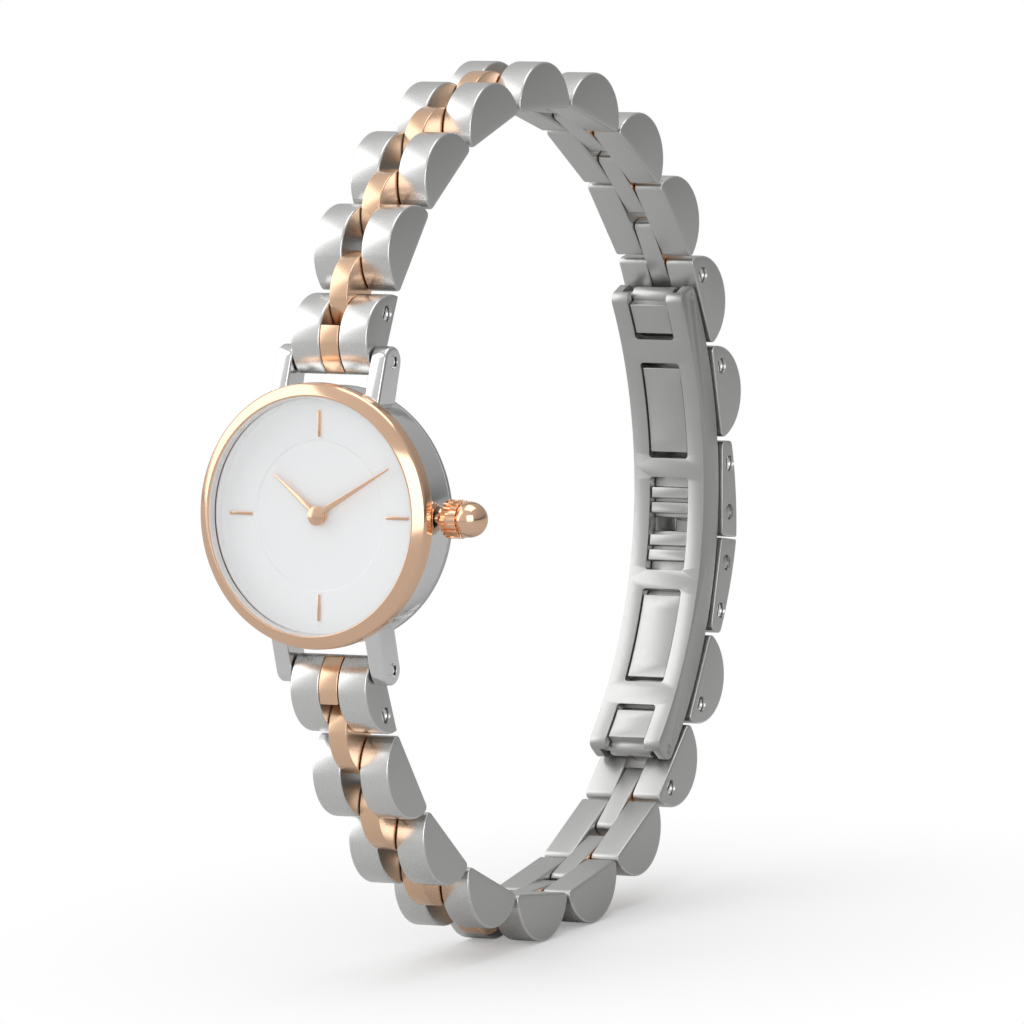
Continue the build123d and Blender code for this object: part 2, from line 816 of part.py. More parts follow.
sleeve_start = cavity_radius - sleeve_wall_gap - crown_pull - sleeve_length
with BuildPart() as setting_sleeve:
    add(across((crown_y, 0), sleeve_start, sleeve_radius, sleeve_length))
    bore = across(
        (crown_y, 0), sleeve_start - cut_overrun, stem_radius + pin_running_clearance,
        sleeve_length + 2 * cut_overrun,
    )
    add(bore, mode=Mode.SUBTRACT)
keep(setting_sleeve, "setting_sleeve", "setting_sleeve")

# The loop leans back until two neighbouring links at the bottom stand on the surface together
foot = rows[rows_before_foot].middle
next_foot = rows[rows_before_foot + 1].middle
lean_back = degrees(atan2(foot[1] - next_foot[1], foot[0] - next_foot[0]))
stood = {name: piece.rotate(Axis.X, -lean_back) for name, piece in parts.items()}

# The origin is under the middle of the whole watch, on the surface that it stands on
boxes = [piece.bounding_box() for piece in stood.values()]
low_x = min(box.min.X for box in boxes)
high_x = max(box.max.X for box in boxes)
low_y = min(box.min.Y for box in boxes)
high_y = max(box.max.Y for box in boxes)
low_z = min(box.min.Z for box in boxes)
shift = (-(low_x + high_x) / 2, -(low_y + high_y) / 2, -low_z)
os.makedirs("parts", exist_ok=True)
for name, piece in stood.items():
    placed = piece.moved(Location(shift))
    placed.label = name
    export_step(placed, f"parts/{name}.step")
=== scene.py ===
"""Looks of a small bracelet watch: dressed metal links, case, dial, crown and folding clasp.

Every assembly is laid out in millimetres in the upright loop's own frame and then placed
by one matrix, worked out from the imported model, into the shared frame in metres.
"""

import json
import logging
from dataclasses import dataclass, field
from enum import Enum
from math import acos, asin, atan2, cos, dist, hypot, pi, radians, sin, sqrt, tan
from typing import Any, Sequence

import bmesh
import bpy
from mathutils import Matrix, Vector

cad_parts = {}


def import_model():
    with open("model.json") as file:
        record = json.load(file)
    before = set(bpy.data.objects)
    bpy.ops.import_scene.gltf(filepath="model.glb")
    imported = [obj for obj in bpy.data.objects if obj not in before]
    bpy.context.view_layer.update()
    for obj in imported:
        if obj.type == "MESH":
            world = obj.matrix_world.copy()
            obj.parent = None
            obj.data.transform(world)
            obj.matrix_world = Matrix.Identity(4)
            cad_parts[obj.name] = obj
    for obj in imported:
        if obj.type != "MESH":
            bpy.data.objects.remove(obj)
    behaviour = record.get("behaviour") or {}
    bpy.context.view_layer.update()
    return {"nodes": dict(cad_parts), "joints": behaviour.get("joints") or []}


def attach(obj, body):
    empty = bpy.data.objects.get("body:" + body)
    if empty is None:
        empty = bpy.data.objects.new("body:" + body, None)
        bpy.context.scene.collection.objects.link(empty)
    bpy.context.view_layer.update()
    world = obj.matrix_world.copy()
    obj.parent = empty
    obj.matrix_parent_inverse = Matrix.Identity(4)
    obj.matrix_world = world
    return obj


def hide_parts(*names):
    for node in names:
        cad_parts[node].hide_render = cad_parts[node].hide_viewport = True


LOG = logging.getLogger("watch")
METRES_PER_MM = 0.001
ZONE_ATTRIBUTE = "zone"

# Shared steps and tolerances, in millimetres where they are lengths
HALVINGS = 50
TINY = 1e-6
LEAST_TURN = 1e-9
SHORTEST_EDGE = 1e-3
CORNER_STEPS = 5
ROUND_STEPS = 40
NARROWEST_TURN = 0.35
RIM_PROFILE = ((0.0, 1.0), (0.08, 0.55), (0.35, 0.2), (0.62, 0.06), (1.0, 0.0))
CUTTER_EDGE = 0.01
CUT_OVERRUN = 1.0

# Degrees past which an edge stays sharp
SHARP_TURNED = 25.0
SHARP_CLASP = 30.0
SHARP_LINK = 32.0
SHARP_CROWN = 35.0
SHARP_CASE = 40.0
SHARP_BEZEL = 50.0
SHARP_DIAL = 60.0

# Sockets that share a name and are told apart by number
MIX_FACTOR, MIX_FIRST, MIX_SECOND, MIX_RESULT = 0, 6, 7, 2
SHADER_FACTOR, SHADER_FIRST, SHADER_SECOND = 0, 1, 2
COMPARE_FIRST, COMPARE_SECOND = 2, 3

Point2 = tuple[float, float]
Point3 = tuple[float, float, float]


class Zone(Enum):
    """Surface zones of a link, in the order of its finishes; the steel links' side and inner zones
    carry painted shade.
    """

    ROUND = 0
    SIDE = 1
    INNER = 2


class Wire:
    """A shader socket, or a number, that can be used in Python expressions."""

    def __init__(self, tree: bpy.types.NodeTree, value: Any) -> None:
        """Hold a value in a tree.

        Args:
            tree: the node tree that new nodes join.
            value: an output socket or a plain number.
        """
        self.tree = tree
        self.value = value

    def math(self, operation: str, *others: Any) -> "Wire":
        """Add a Math node.

        Args:
            operation: Blender's name of the operation.
            others: the other operands, wires or numbers.

        Returns:
            The node's result.
        """
        node = self.tree.nodes.new("ShaderNodeMath")
        node.operation = operation
        for socket, operand in zip(node.inputs, (self, *others)):
            feed(self.tree, socket, operand)
        return Wire(self.tree, node.outputs[0])

    def __add__(self, other: Any) -> "Wire":
        """Sum."""
        return self.math("ADD", other)

    __radd__ = __add__

    def __mul__(self, other: Any) -> "Wire":
        """Product."""
        return self.math("MULTIPLY", other)

    __rmul__ = __mul__

    def __sub__(self, other: Any) -> "Wire":
        """Difference."""
        return self.math("SUBTRACT", other)

    def __rsub__(self, other: Any) -> "Wire":
        """Difference from a number."""
        return Wire(self.tree, other).math("SUBTRACT", self)


def feed(tree: bpy.types.NodeTree, socket: bpy.types.NodeSocket, value: Any) -> None:
    """Link a wire to a socket, or set the socket to a plain value.

    Args:
        tree: the tree that holds the socket.
        socket: the input to feed.
        value: a wire, or what the socket is set to.
    """
    raw = value.value if isinstance(value, Wire) else value
    if isinstance(raw, bpy.types.NodeSocket):
        tree.links.new(raw, socket)
    else:
        socket.default_value = raw


class Shader:
    """The node tree of one material, or of the room's light."""

    def __init__(self, owner: bpy.types.Material | bpy.types.World, output: str) -> None:
        """Start with an empty tree.

        Args:
            owner: the material or world that holds the tree.
            output: Blender's type of its output node.
        """
        owner.use_nodes = True
        self.owner = owner
        self.tree = owner.node_tree
        self.tree.nodes.clear()
        self.output = self.tree.nodes.new(output)

    @classmethod
    def of_material(cls, name: str) -> "Shader":
        """Start a new material."""
        return cls(bpy.data.materials.new(name), "ShaderNodeOutputMaterial")

    def node(self, kind: str, settings: dict[str, Any], inputs: dict[Any, Any]) -> bpy.types.Node:
        """Add any node.

        Args:
            kind: Blender's node type.
            settings: attributes set first.
            inputs: socket values, or wires to link, by socket name or number.

        Returns:
            The new node.
        """
        node = self.tree.nodes.new(kind)
        for key, value in settings.items():
            setattr(node, key, value)
        for key, value in inputs.items():
            feed(self.tree, node.inputs[key], value)
        return node

    def wire(self, node: bpy.types.Node, output: Any = 0) -> Wire:
        """Wrap a node's output."""
        return Wire(self.tree, node.outputs[output])

    def coordinates(self, scale: Point3) -> Wire:
        """Stretch object coordinates.

        Args:
            scale: the stretch along each axis.

        Returns:
            The stretched coordinates.
        """
        source = self.wire(self.node("ShaderNodeTexCoord", {}, {}), "Object")
        mapping = self.node("ShaderNodeMapping", {}, {"Vector": source, "Scale": scale})
        return self.wire(mapping)

    def noise(self, scale: Point3, detail: float) -> Wire:
        """Make noise between 0 and 1 on stretched object coordinates.

        Args:
            scale: cycles for each metre along each axis.
            detail: how many finer layers are added.

        Returns:
            The noise.
        """
        inputs = {"Vector": self.coordinates(scale), "Scale": 1.0, "Detail": detail}
        return self.wire(self.node("ShaderNodeTexNoise", {}, inputs))

    def bump(self, height: Wire, distance: float, strength: float) -> Wire:
        """Turn a height into a normal.

        Args:
            height: the height, between 0 and 1.
            distance: the relief in metres.
            strength: how strongly it shows.

        Returns:
            The normal.
        """
        inputs = {"Strength": strength, "Distance": distance, "Height": height}
        return self.wire(self.node("ShaderNodeBump", {}, inputs))

    def between(self, factor: Wire, dim: float, colour: Point3) -> Wire:
        """Mix a colour with a darker shade of itself.

        Args:
            factor: 0 for the darker shade, 1 for the colour.
            dim: the darker shade's share of the colour.
            colour: the full colour.

        Returns:
            The mixed colour.
        """
        inputs = {
            MIX_FACTOR: factor,
            MIX_FIRST: (*[c * dim for c in colour], 1.0),
            MIX_SECOND: (*colour, 1.0),
        }
        return self.wire(self.node("ShaderNodeMix", {"data_type": "RGBA"}, inputs), MIX_RESULT)

    def mixed(self, factor: Wire, first: bpy.types.Node, second: bpy.types.Node) -> bpy.types.Node:
        """Mix two shaders.

        Args:
            factor: 0 for the first shader, 1 for the second.
            first: the first shader's node.
            second: the second shader's node.

        Returns:
            The mixing node.
        """
        inputs = {
            SHADER_FACTOR: factor,
            SHADER_FIRST: self.wire(first),
            SHADER_SECOND: self.wire(second),
        }
        return self.node("ShaderNodeMixShader", {}, inputs)

    def finish(self, shader: bpy.types.Node) -> Any:
        """Link the last shader to the output and return the material or world."""
        self.tree.links.new(shader.outputs[0], self.output.inputs["Surface"])
        return self.owner


@dataclass(frozen=True)
class Metal:
    """A metal finish with fine grain.

    Attributes:
        name: the finish's name.
        colour: reflected colour.
        roughness: mean roughness.
        spread: how far the grain moves the roughness.
        grain: noise cycles for each metre along X, Y and Z.
        relief: height of the grain in metres.
        tint: how far the grain darkens the colour.
        blotches: cycles of the broad unevenness for each metre along X, Y and Z.
        bump: how strongly the relief shows.
    """

    name: str
    colour: Point3
    roughness: float
    spread: float = 0.06
    grain: Point3 = (9000.0, 9000.0, 9000.0)
    relief: float = 0.000002
    tint: float = 0.05
    blotches: Point3 = (220.0, 220.0, 220.0)
    bump: float = 0.5

    def make(self) -> bpy.types.Material:
        """Build the material.

        Returns:
            The finished material.
        """
        shader = Shader.of_material(self.name)
        grain = shader.noise(self.grain, 2.0)
        broad = shader.noise(self.blotches, 3.0)
        grained = self.roughness + (grain - 0.5) * self.spread
        principled = shader.node(
            "ShaderNodeBsdfPrincipled",
            {},
            {
                "Base Color": shader.between(1 - grain * self.tint, 1 - 2 * self.tint, self.colour),
                "Metallic": 1.0,
                "Roughness": grained + (broad - 0.5) * (self.spread / 2),
                "Normal": shader.bump(grain, self.relief, self.bump),
            },
        )
        return shader.finish(principled)


@dataclass(frozen=True)
class Enamel:
    """A painted or moulded finish with fine grain.

    Attributes:
        name: the finish's name.
        colour: base colour.
        roughness: mean roughness.
        coat: clear coat weight.
        grain: noise cycles for each metre.
        relief: height of the grain in metres.
        spread: how far the grain moves the roughness.
        dim: the grain's darkest share of the colour.
        bump: how strongly the relief shows.
    """

    name: str
    colour: Point3
    roughness: float
    coat: float = 0.0
    grain: float = 12000.0
    relief: float = 0.000001
    spread: float = 0.05
    dim: float = 0.98
    bump: float = 0.3

    def make(self) -> bpy.types.Material:
        """Build the material.

        Returns:
            The finished material.
        """
        shader = Shader.of_material(self.name)
        grain = shader.noise((self.grain,) * 3, 2.0)
        principled = shader.node(
            "ShaderNodeBsdfPrincipled",
            {},
            {
                "Base Color": shader.between(grain, self.dim, self.colour),
                "Roughness": self.roughness + (grain - 0.5) * self.spread,
                "Coat Weight": self.coat,
                "Normal": shader.bump(grain, self.relief, self.bump),
            },
        )
        return shader.finish(principled)


@dataclass(frozen=True)
class Glass:
    """Thin clear glass that lets the view and the light through.

    Attributes:
        name: the finish's name.
        gloss: share of the surface that reflects face on.
        tint: colour of what shows through.
        roughness: roughness of the reflection.
        index: index of refraction.
        smudges: cycles of the faint smudges for each metre.
        smudge: how much more a smudge reflects.
    """

    name: str
    gloss: float
    tint: Point3
    roughness: float = 0.03
    index: float = 1.45
    smudges: float = 150.0
    smudge: float = 0.01

    def make(self) -> bpy.types.Material:
        """Build the material.

        Returns:
            The finished material.
        """
        shader = Shader.of_material(self.name)
        clear = shader.node("ShaderNodeBsdfTransparent", {}, {"Color": (*self.tint, 1.0)})
        white = {"Base Color": (1.0, 1.0, 1.0, 1.0), "Metallic": 1.0, "Roughness": self.roughness}
        shine = shader.node("ShaderNodeBsdfPrincipled", {}, white)
        edge = shader.wire(shader.node("ShaderNodeFresnel", {}, {"IOR": self.index}))
        smudges = shader.noise((self.smudges,) * 3, 2.0)
        return shader.finish(shader.mixed(edge * self.gloss + smudges * self.smudge, clear, shine))


class Palette:
    """Every finish of the watch, made once; some steel colours are darkened as painted shade."""

    def __init__(self) -> None:
        """Build the materials."""
        across_link = (9000.0, 9000.0, 1500.0)
        along_clasp = (5000.0, 5000.0, 350.0)
        self.steel_round = Metal(
            "satin_steel_round", (0.76, 0.76, 0.75), 0.28, tint=0.03
        ).make()
        # Painted shade: the side faces get a darker colour than the rounded faces; their rougher
        # satin is their own finish.
        self.steel_side_shaded = Metal(
            "satin_steel_side_painted_shade", (0.58, 0.58, 0.57), 0.36, spread=0.10, tint=0.07
        ).make()
        # Painted shade: the brushed inner flats get a darker colour than the rounded faces; the
        # brushing is their own finish.
        self.steel_inner_shaded = Metal(
            "brushed_steel_inner_painted_shade",
            (0.60, 0.60, 0.59),
            0.38,
            spread=0.12,
            grain=across_link,
            relief=0.000003,
            tint=0.06,
        ).make()
        self.steel_bright = Metal(
            "polished_steel", (0.82, 0.82, 0.82), 0.12, spread=0.03, tint=0.01
        ).make()
        # Painted shade: the brushed clasp gets a darker colour than the rounded faces; the brushing
        # is its own finish.
        self.clasp = Metal(
            "brushed_clasp_painted_shade",
            (0.54, 0.54, 0.53),
            0.38,
            spread=0.14,
            grain=along_clasp,
            relief=0.000004,
            tint=0.12,
        ).make()
        self.rose = Metal(
            "polished_rose_gold", (0.93, 0.62, 0.43), 0.13, spread=0.04, tint=0.02
        ).make()
        self.rose_satin = Metal(
            "rose_gold_satin", (0.92, 0.62, 0.42), 0.24, spread=0.05, tint=0.03
        ).make()
        self.brass = Metal("plated_movement", (0.75, 0.66, 0.42), 0.35, spread=0.08).make()
        self.white = Enamel("white_dial", (0.86, 0.87, 0.88), 0.35, coat=0.4).make()
        self.seal = Enamel("pale_gasket", (0.72, 0.72, 0.71), 0.5).make()
        self.glass = Glass("clear_crystal", 0.12, (0.99, 0.99, 0.99)).make()


@dataclass
class Loop:
    """The bracelet's path and the matrix that places it in the shared frame.

    The numbers repeat the construction's own sizes, in millimetres. The half height that
    closes the loop is searched for between two shares of the rows' whole length.
    """

    joints: list[dict[str, Any]]
    pitch: float = 7.8
    depth_share: float = 0.865
    gap_half_height: float = 9.7
    upper_rows: int = 11
    lower_rows: int = 10
    foot_row: int = 15
    pin_spacing: float = 3.8
    smallest_share: float = 1 / 9
    largest_share: float = 1 / 3

    def __post_init__(self) -> None:
        """Solve the ellipse, place the rows and work out the matrix."""
        self.row_count = self.upper_rows + self.lower_rows
        low = self.pitch * self.row_count * self.smallest_share
        high = self.pitch * self.row_count * self.largest_share
        for _ in range(HALVINGS):
            middle = (low + high) / 2
            turns = self.turns(middle)
            if turns[-1] + turns[0] > 2 * pi:
                low = middle
            else:
                high = middle
        boundaries = [self.place(low, turn) for turn in self.turns(low)]
        self.rows = [Row(*ends) for ends in zip(boundaries, boundaries[1:])]
        self.first_pins = [row.point(-self.pin_spacing / 2, 0) for row in self.rows]
        self.last_pins = [row.point(self.pin_spacing / 2, 0) for row in self.rows]
        foot, beside = self.rows[self.foot_row].middle, self.rows[self.foot_row + 1].middle
        lean = atan2(foot[1] - beside[1], foot[0] - beside[0])
        self.turned = Matrix.Rotation(-lean, 4, "X")
        anchor = next(j for j in self.joints if j["name"] == "bracelet_open")["pos_m"]
        start = self.turned @ Vector((0, *self.first_pins[0])) * METRES_PER_MM
        shift = Matrix.Translation(Vector(anchor) - start)
        self.matrix = shift @ self.turned @ Matrix.Scale(METRES_PER_MM, 4)

    def place(self, half_height: float, turn: float) -> Point2:
        """Point of the ellipse at a turn, as (y, z)."""
        return (-self.depth_share * half_height * cos(turn), half_height * sin(turn))

    def turns(self, half_height: float) -> list[float]:
        """Turns of the row boundaries at equal chords.

        Args:
            half_height: half the height of the ellipse.

        Returns:
            One turn for each boundary.
        """
        turns = [asin(self.gap_half_height / half_height)]
        for _ in range(self.row_count):
            start = self.place(half_height, turns[-1])
            low, high = turns[-1], turns[-1] + pi / 2
            for _ in range(HALVINGS):
                middle = (low + high) / 2
                point = self.place(half_height, middle)
                if hypot(point[0] - start[0], point[1] - start[1]) < self.pitch:
                    low = middle
                else:
                    high = middle
            turns.append(low)
        return turns


class Row:
    """Place and direction of one link row on the path."""

    def __init__(self, start: Point2, end: Point2) -> None:
        """Keep the middle and direction between two points.

        Args:
            start: where the row begins, as (y, z).
            end: where it ends.
        """
        length = hypot(end[0] - start[0], end[1] - start[1])
        self.middle = ((start[0] + end[0]) / 2, (start[1] + end[1]) / 2)
        self.along = ((end[0] - start[0]) / length, (end[1] - start[1]) / length)

    def point(self, t: float, n: float) -> Point2:
        """Place a point of the row in the loop's frame.

        Args:
            t: how far along the row it is.
            n: how far outward it is.

        Returns:
            The point, as (y, z).
        """
        y = self.middle[0] + t * self.along[0] - n * self.along[1]
        z = self.middle[1] + t * self.along[1] + n * self.along[0]
        return (y, z)

    def matrix(self) -> Matrix:
        """Matrix from (x, t, n) to the loop's frame."""
        (y, z), middle = self.along, self.middle
        return Matrix(((1, 0, 0, 0), (0, y, -z, middle[0]), (0, z, y, middle[1]), (0, 0, 0, 1)))


def arc(centre: Point2, radius: float, start: float, end: float, steps: int) -> list[Point2]:
    """Points of an arc, both ends included, from a start to an end in radians."""
    turns = [start + (end - start) * i / steps for i in range(steps + 1)]
    return [(centre[0] + radius * cos(a), centre[1] + radius * sin(a)) for a in turns]


def half_round(half: float, flat: float, corner: float) -> list[Point2]:
    """Half-round outline with rounded corners, anticlockwise from the flat's right end.

    Args:
        half: half the flat's length, and the round's radius.
        flat: depth of the flat below the pins.
        corner: radius of the two corners.

    Returns:
        The outline's points.
    """
    reach = sqrt((half - corner) ** 2 - corner**2)
    lift = atan2(corner, reach)
    right = arc((reach, corner - flat), corner, -pi / 2, lift, CORNER_STEPS)
    crown = arc((0, -flat), half, lift, pi - lift, ROUND_STEPS)
    left = arc((-reach, corner - flat), corner, pi - lift, 3 * pi / 2, CORNER_STEPS)
    return right + crown[1:-1] + left


def three_point_arc(first: Point2, middle: Point2, last: Point2, steps: int) -> list[Point2]:
    """Points of the anticlockwise arc through three points.

    Args:
        first: where the arc begins.
        middle: a point on its way.
        last: where it ends.
        steps: its divisions.

    Returns:
        The arc's points, both ends included.
    """
    centre, radius = circle_through(first, middle, last)
    start = atan2(first[1] - centre[1], first[0] - centre[0])
    end = atan2(last[1] - centre[1], last[0] - centre[0])
    if end < start:
        end += 2 * pi
    return arc(centre, radius, start, end, steps)


def circle_through(a: Point2, b: Point2, c: Point2) -> tuple[Point2, float]:
    """Find the circle through three points.

    Args:
        a: the first point.
        b: the second point.
        c: the third point.

    Returns:
        Its centre and its radius.
    """
    d = 2 * (a[0] * (b[1] - c[1]) + b[0] * (c[1] - a[1]) + c[0] * (a[1] - b[1]))
    q = [p[0] ** 2 + p[1] ** 2 for p in (a, b, c)]
    y = (q[0] * (b[1] - c[1]) + q[1] * (c[1] - a[1]) + q[2] * (a[1] - b[1])) / d
    z = (q[0] * (c[0] - b[0]) + q[1] * (a[0] - c[0]) + q[2] * (b[0] - a[0])) / d
    return (y, z), hypot(a[0] - y, a[1] - z)


def inset(outline: Sequence[Point2], amount: float) -> list[Point2]:
    """Move an outline inward along the mean normal at each point.

    Args:
        outline: anticlockwise points.
        amount: how far it moves.

    Returns:
        As many points, moved.
    """
    count = len(outline)
    moved = []
    for i, point in enumerate(outline):
        before, after = outline[i - 1], outline[(i + 1) % count]
        first = Vector((point[0] - before[0], point[1] - before[1])).normalized()
        second = Vector((after[0] - point[0], after[1] - point[1])).normalized()
        normal = Vector((-first.y - second.y, first.x + second.x))
        scale = amount / max(NARROWEST_TURN, normal.length / 2)
        normal.normalize()
        moved.append((point[0] + normal.x * scale, point[1] + normal.y * scale))
    return moved


def rounded(points: Sequence[Point2], radii: Sequence[float], steps: int = 4) -> list[Point2]:
    """Closed outline with its corners rounded.

    Args:
        points: corners of the outline.
        radii: cut back of each corner, or 0.
        steps: divisions of each rounded corner.

    Returns:
        The rounded outline.
    """
    result: list[Point2] = []
    count = len(points)
    for i, (corner, radius) in enumerate(zip(points, radii)):
        if radius <= 0:
            result.append(corner)
            continue
        here = Vector(corner)
        before, after = Vector(points[i - 1]), Vector(points[(i + 1) % count])
        a = here + (before - here).normalized() * radius
        b = here + (after - here).normalized() * radius
        for k in range(steps + 1):
            u = k / steps
            p = a * (1 - u) ** 2 + here * (2 * u * (1 - u)) + b * u**2
            result.append((p.x, p.y))
    return result


def hull(points: Sequence[Point2]) -> list[Point2]:
    """Wrap points in their convex outline.

    Args:
        points: any points.

    Returns:
        The corners of the outline, anticlockwise.
    """
    cloud = sorted(points)
    outline: list[Point2] = []
    for side in (cloud, cloud[::-1]):
        part: list[Point2] = []
        for p in side:
            while len(part) > 1 and not turns_left(part[-2], part[-1], p):
                part.pop()
            part.append(p)
        outline += part[:-1]
    return outline


def turns_left(first: Point2, second: Point2, third: Point2) -> bool:
    """Whether the way from one point over a second to a third turns left."""
    along = (second[0] - first[0], second[1] - first[1])
    return along[0] * (third[1] - first[1]) - along[1] * (third[0] - first[0]) > LEAST_TURN


def without_repeats(outline: Sequence[Point2], limit: float) -> list[Point2]:
    """Drop the points that cropping an outline at a limit has made needless.

    Args:
        outline: the outline, with the points past the limit pushed back to it.
        limit: where along the row it was cropped.

    Returns:
        The outline without doubled points and with one straight cropped side.
    """
    apart = [p for i, p in enumerate(outline) if dist(p, outline[i - 1]) > SHORTEST_EDGE]
    at_limit = [abs(t - limit) < TINY for t, _ in apart]
    count = len(apart)
    return [
        p
        for i, p in enumerate(apart)
        if not (at_limit[i - 1] and at_limit[i] and at_limit[(i + 1) % count])
    ]


class MeshMaker:
    """Collects rings and faces of one piece and turns them into an object."""

    def __init__(self) -> None:
        """Start with an empty mesh."""
        self.mesh = bmesh.new()

    def prism(
        self,
        outline: Sequence[Point2],
        x_low: float,
        x_high: float,
        edge: float,
        place: Matrix,
        zones: bool = False,
    ) -> None:
        """Add a prism along X with rounded rims.

        Args:
            outline: anticlockwise (t, n) points.
            x_low: where it starts along X.
            x_high: where it ends along X.
            edge: radius of its rims.
            place: matrix from (x, t, n) to the target frame.
            zones: whether faces take the link zones as material indices.
        """
        rim = [(depth * edge, drop * edge) for depth, drop in RIM_PROFILE]
        stations = [(x_low + depth, drop) for depth, drop in rim]
        stations += [(x_high - depth, drop) for depth, drop in reversed(rim)]
        rings = []
        for x, amount in stations:
            points = inset(outline, amount) if amount else outline
            rings.append([self.mesh.verts.new(place @ Vector((x, t, n))) for t, n in points])
        count = len(outline)
        for low, high in zip(rings, rings[1:]):
            for i in range(count):
                j = (i + 1) % count
                face = self.mesh.faces.new((low[i], low[j], high[j], high[i]))
                if zones:
                    inner = outline[i][1] + outline[j][1] < 0
                    face.material_index = Zone.INNER.value if inner else Zone.ROUND.value
        for ring, reverse in ((rings[0], True), (rings[-1], False)):
            face = self.mesh.faces.new(list(reversed(ring)) if reverse else ring)
            if zones:
                face.material_index = Zone.SIDE.value

    def turned(
        self, profile: Sequence[Point2], steps: int, place: Matrix, closed: bool = True
    ) -> None:
        """Add a solid turned about the local Y axis.

        Args:
            profile: (radius, y) points round the section.
            steps: divisions round the axis.
            place: matrix to the target frame.
            closed: whether the section's last point joins its first.
        """
        columns = []
        for radius, y in profile:
            if radius < TINY:
                columns.append([self.mesh.verts.new(place @ Vector((0, y, 0)))] * steps)
                continue
            ring = []
            for k in range(steps):
                turn = 2 * pi * k / steps
                point = Vector((radius * cos(turn), y, radius * sin(turn)))
                ring.append(self.mesh.verts.new(place @ point))
            columns.append(ring)
        pairs = list(zip(columns, columns[1:])) + ([(columns[-1], columns[0])] if closed else [])
        for first, second in pairs:
            for k in range(steps):
                j = (k + 1) % steps
                corners = [first[k], first[j], second[j], second[k]]
                unique = list(dict.fromkeys(corners))
                if len(unique) > 2:
                    self.mesh.faces.new(unique)

    def finish(
        self, name: str, materials: Sequence[bpy.types.Material], smooth: float = SHARP_LINK
    ) -> bpy.types.Object:
        """Turn the mesh into an object at the origin.

        Args:
            name: the piece's name.
            materials: its materials, in the order of the indices.
            smooth: edges sharper than this many degrees stay sharp.

        Returns:
            The new object.
        """
        bmesh.ops.recalc_face_normals(self.mesh, faces=self.mesh.faces)
        data = bpy.data.meshes.new(name)
        self.mesh.to_mesh(data)
        self.mesh.free()
        return self.wrap(name, data, materials, smooth)

    @staticmethod
    def wrap(
        name: str,
        data: bpy.types.Mesh,
        materials: Sequence[bpy.types.Material],
        smooth: float,
    ) -> bpy.types.Object:
        """Make an object of a mesh, smooth it and dress it.

        Args:
            name: the piece's name.
            data: the mesh.
            materials: its materials, in the order of the indices.
            smooth: edges sharper than this many degrees stay sharp.

        Returns:
            The new object.
        """
        for material in materials:
            data.materials.append(material)
        data.shade_smooth()
        data.set_sharp_from_angle(angle=radians(smooth))
        piece = bpy.data.objects.new(name, data)
        bpy.context.scene.collection.objects.link(piece)
        return piece


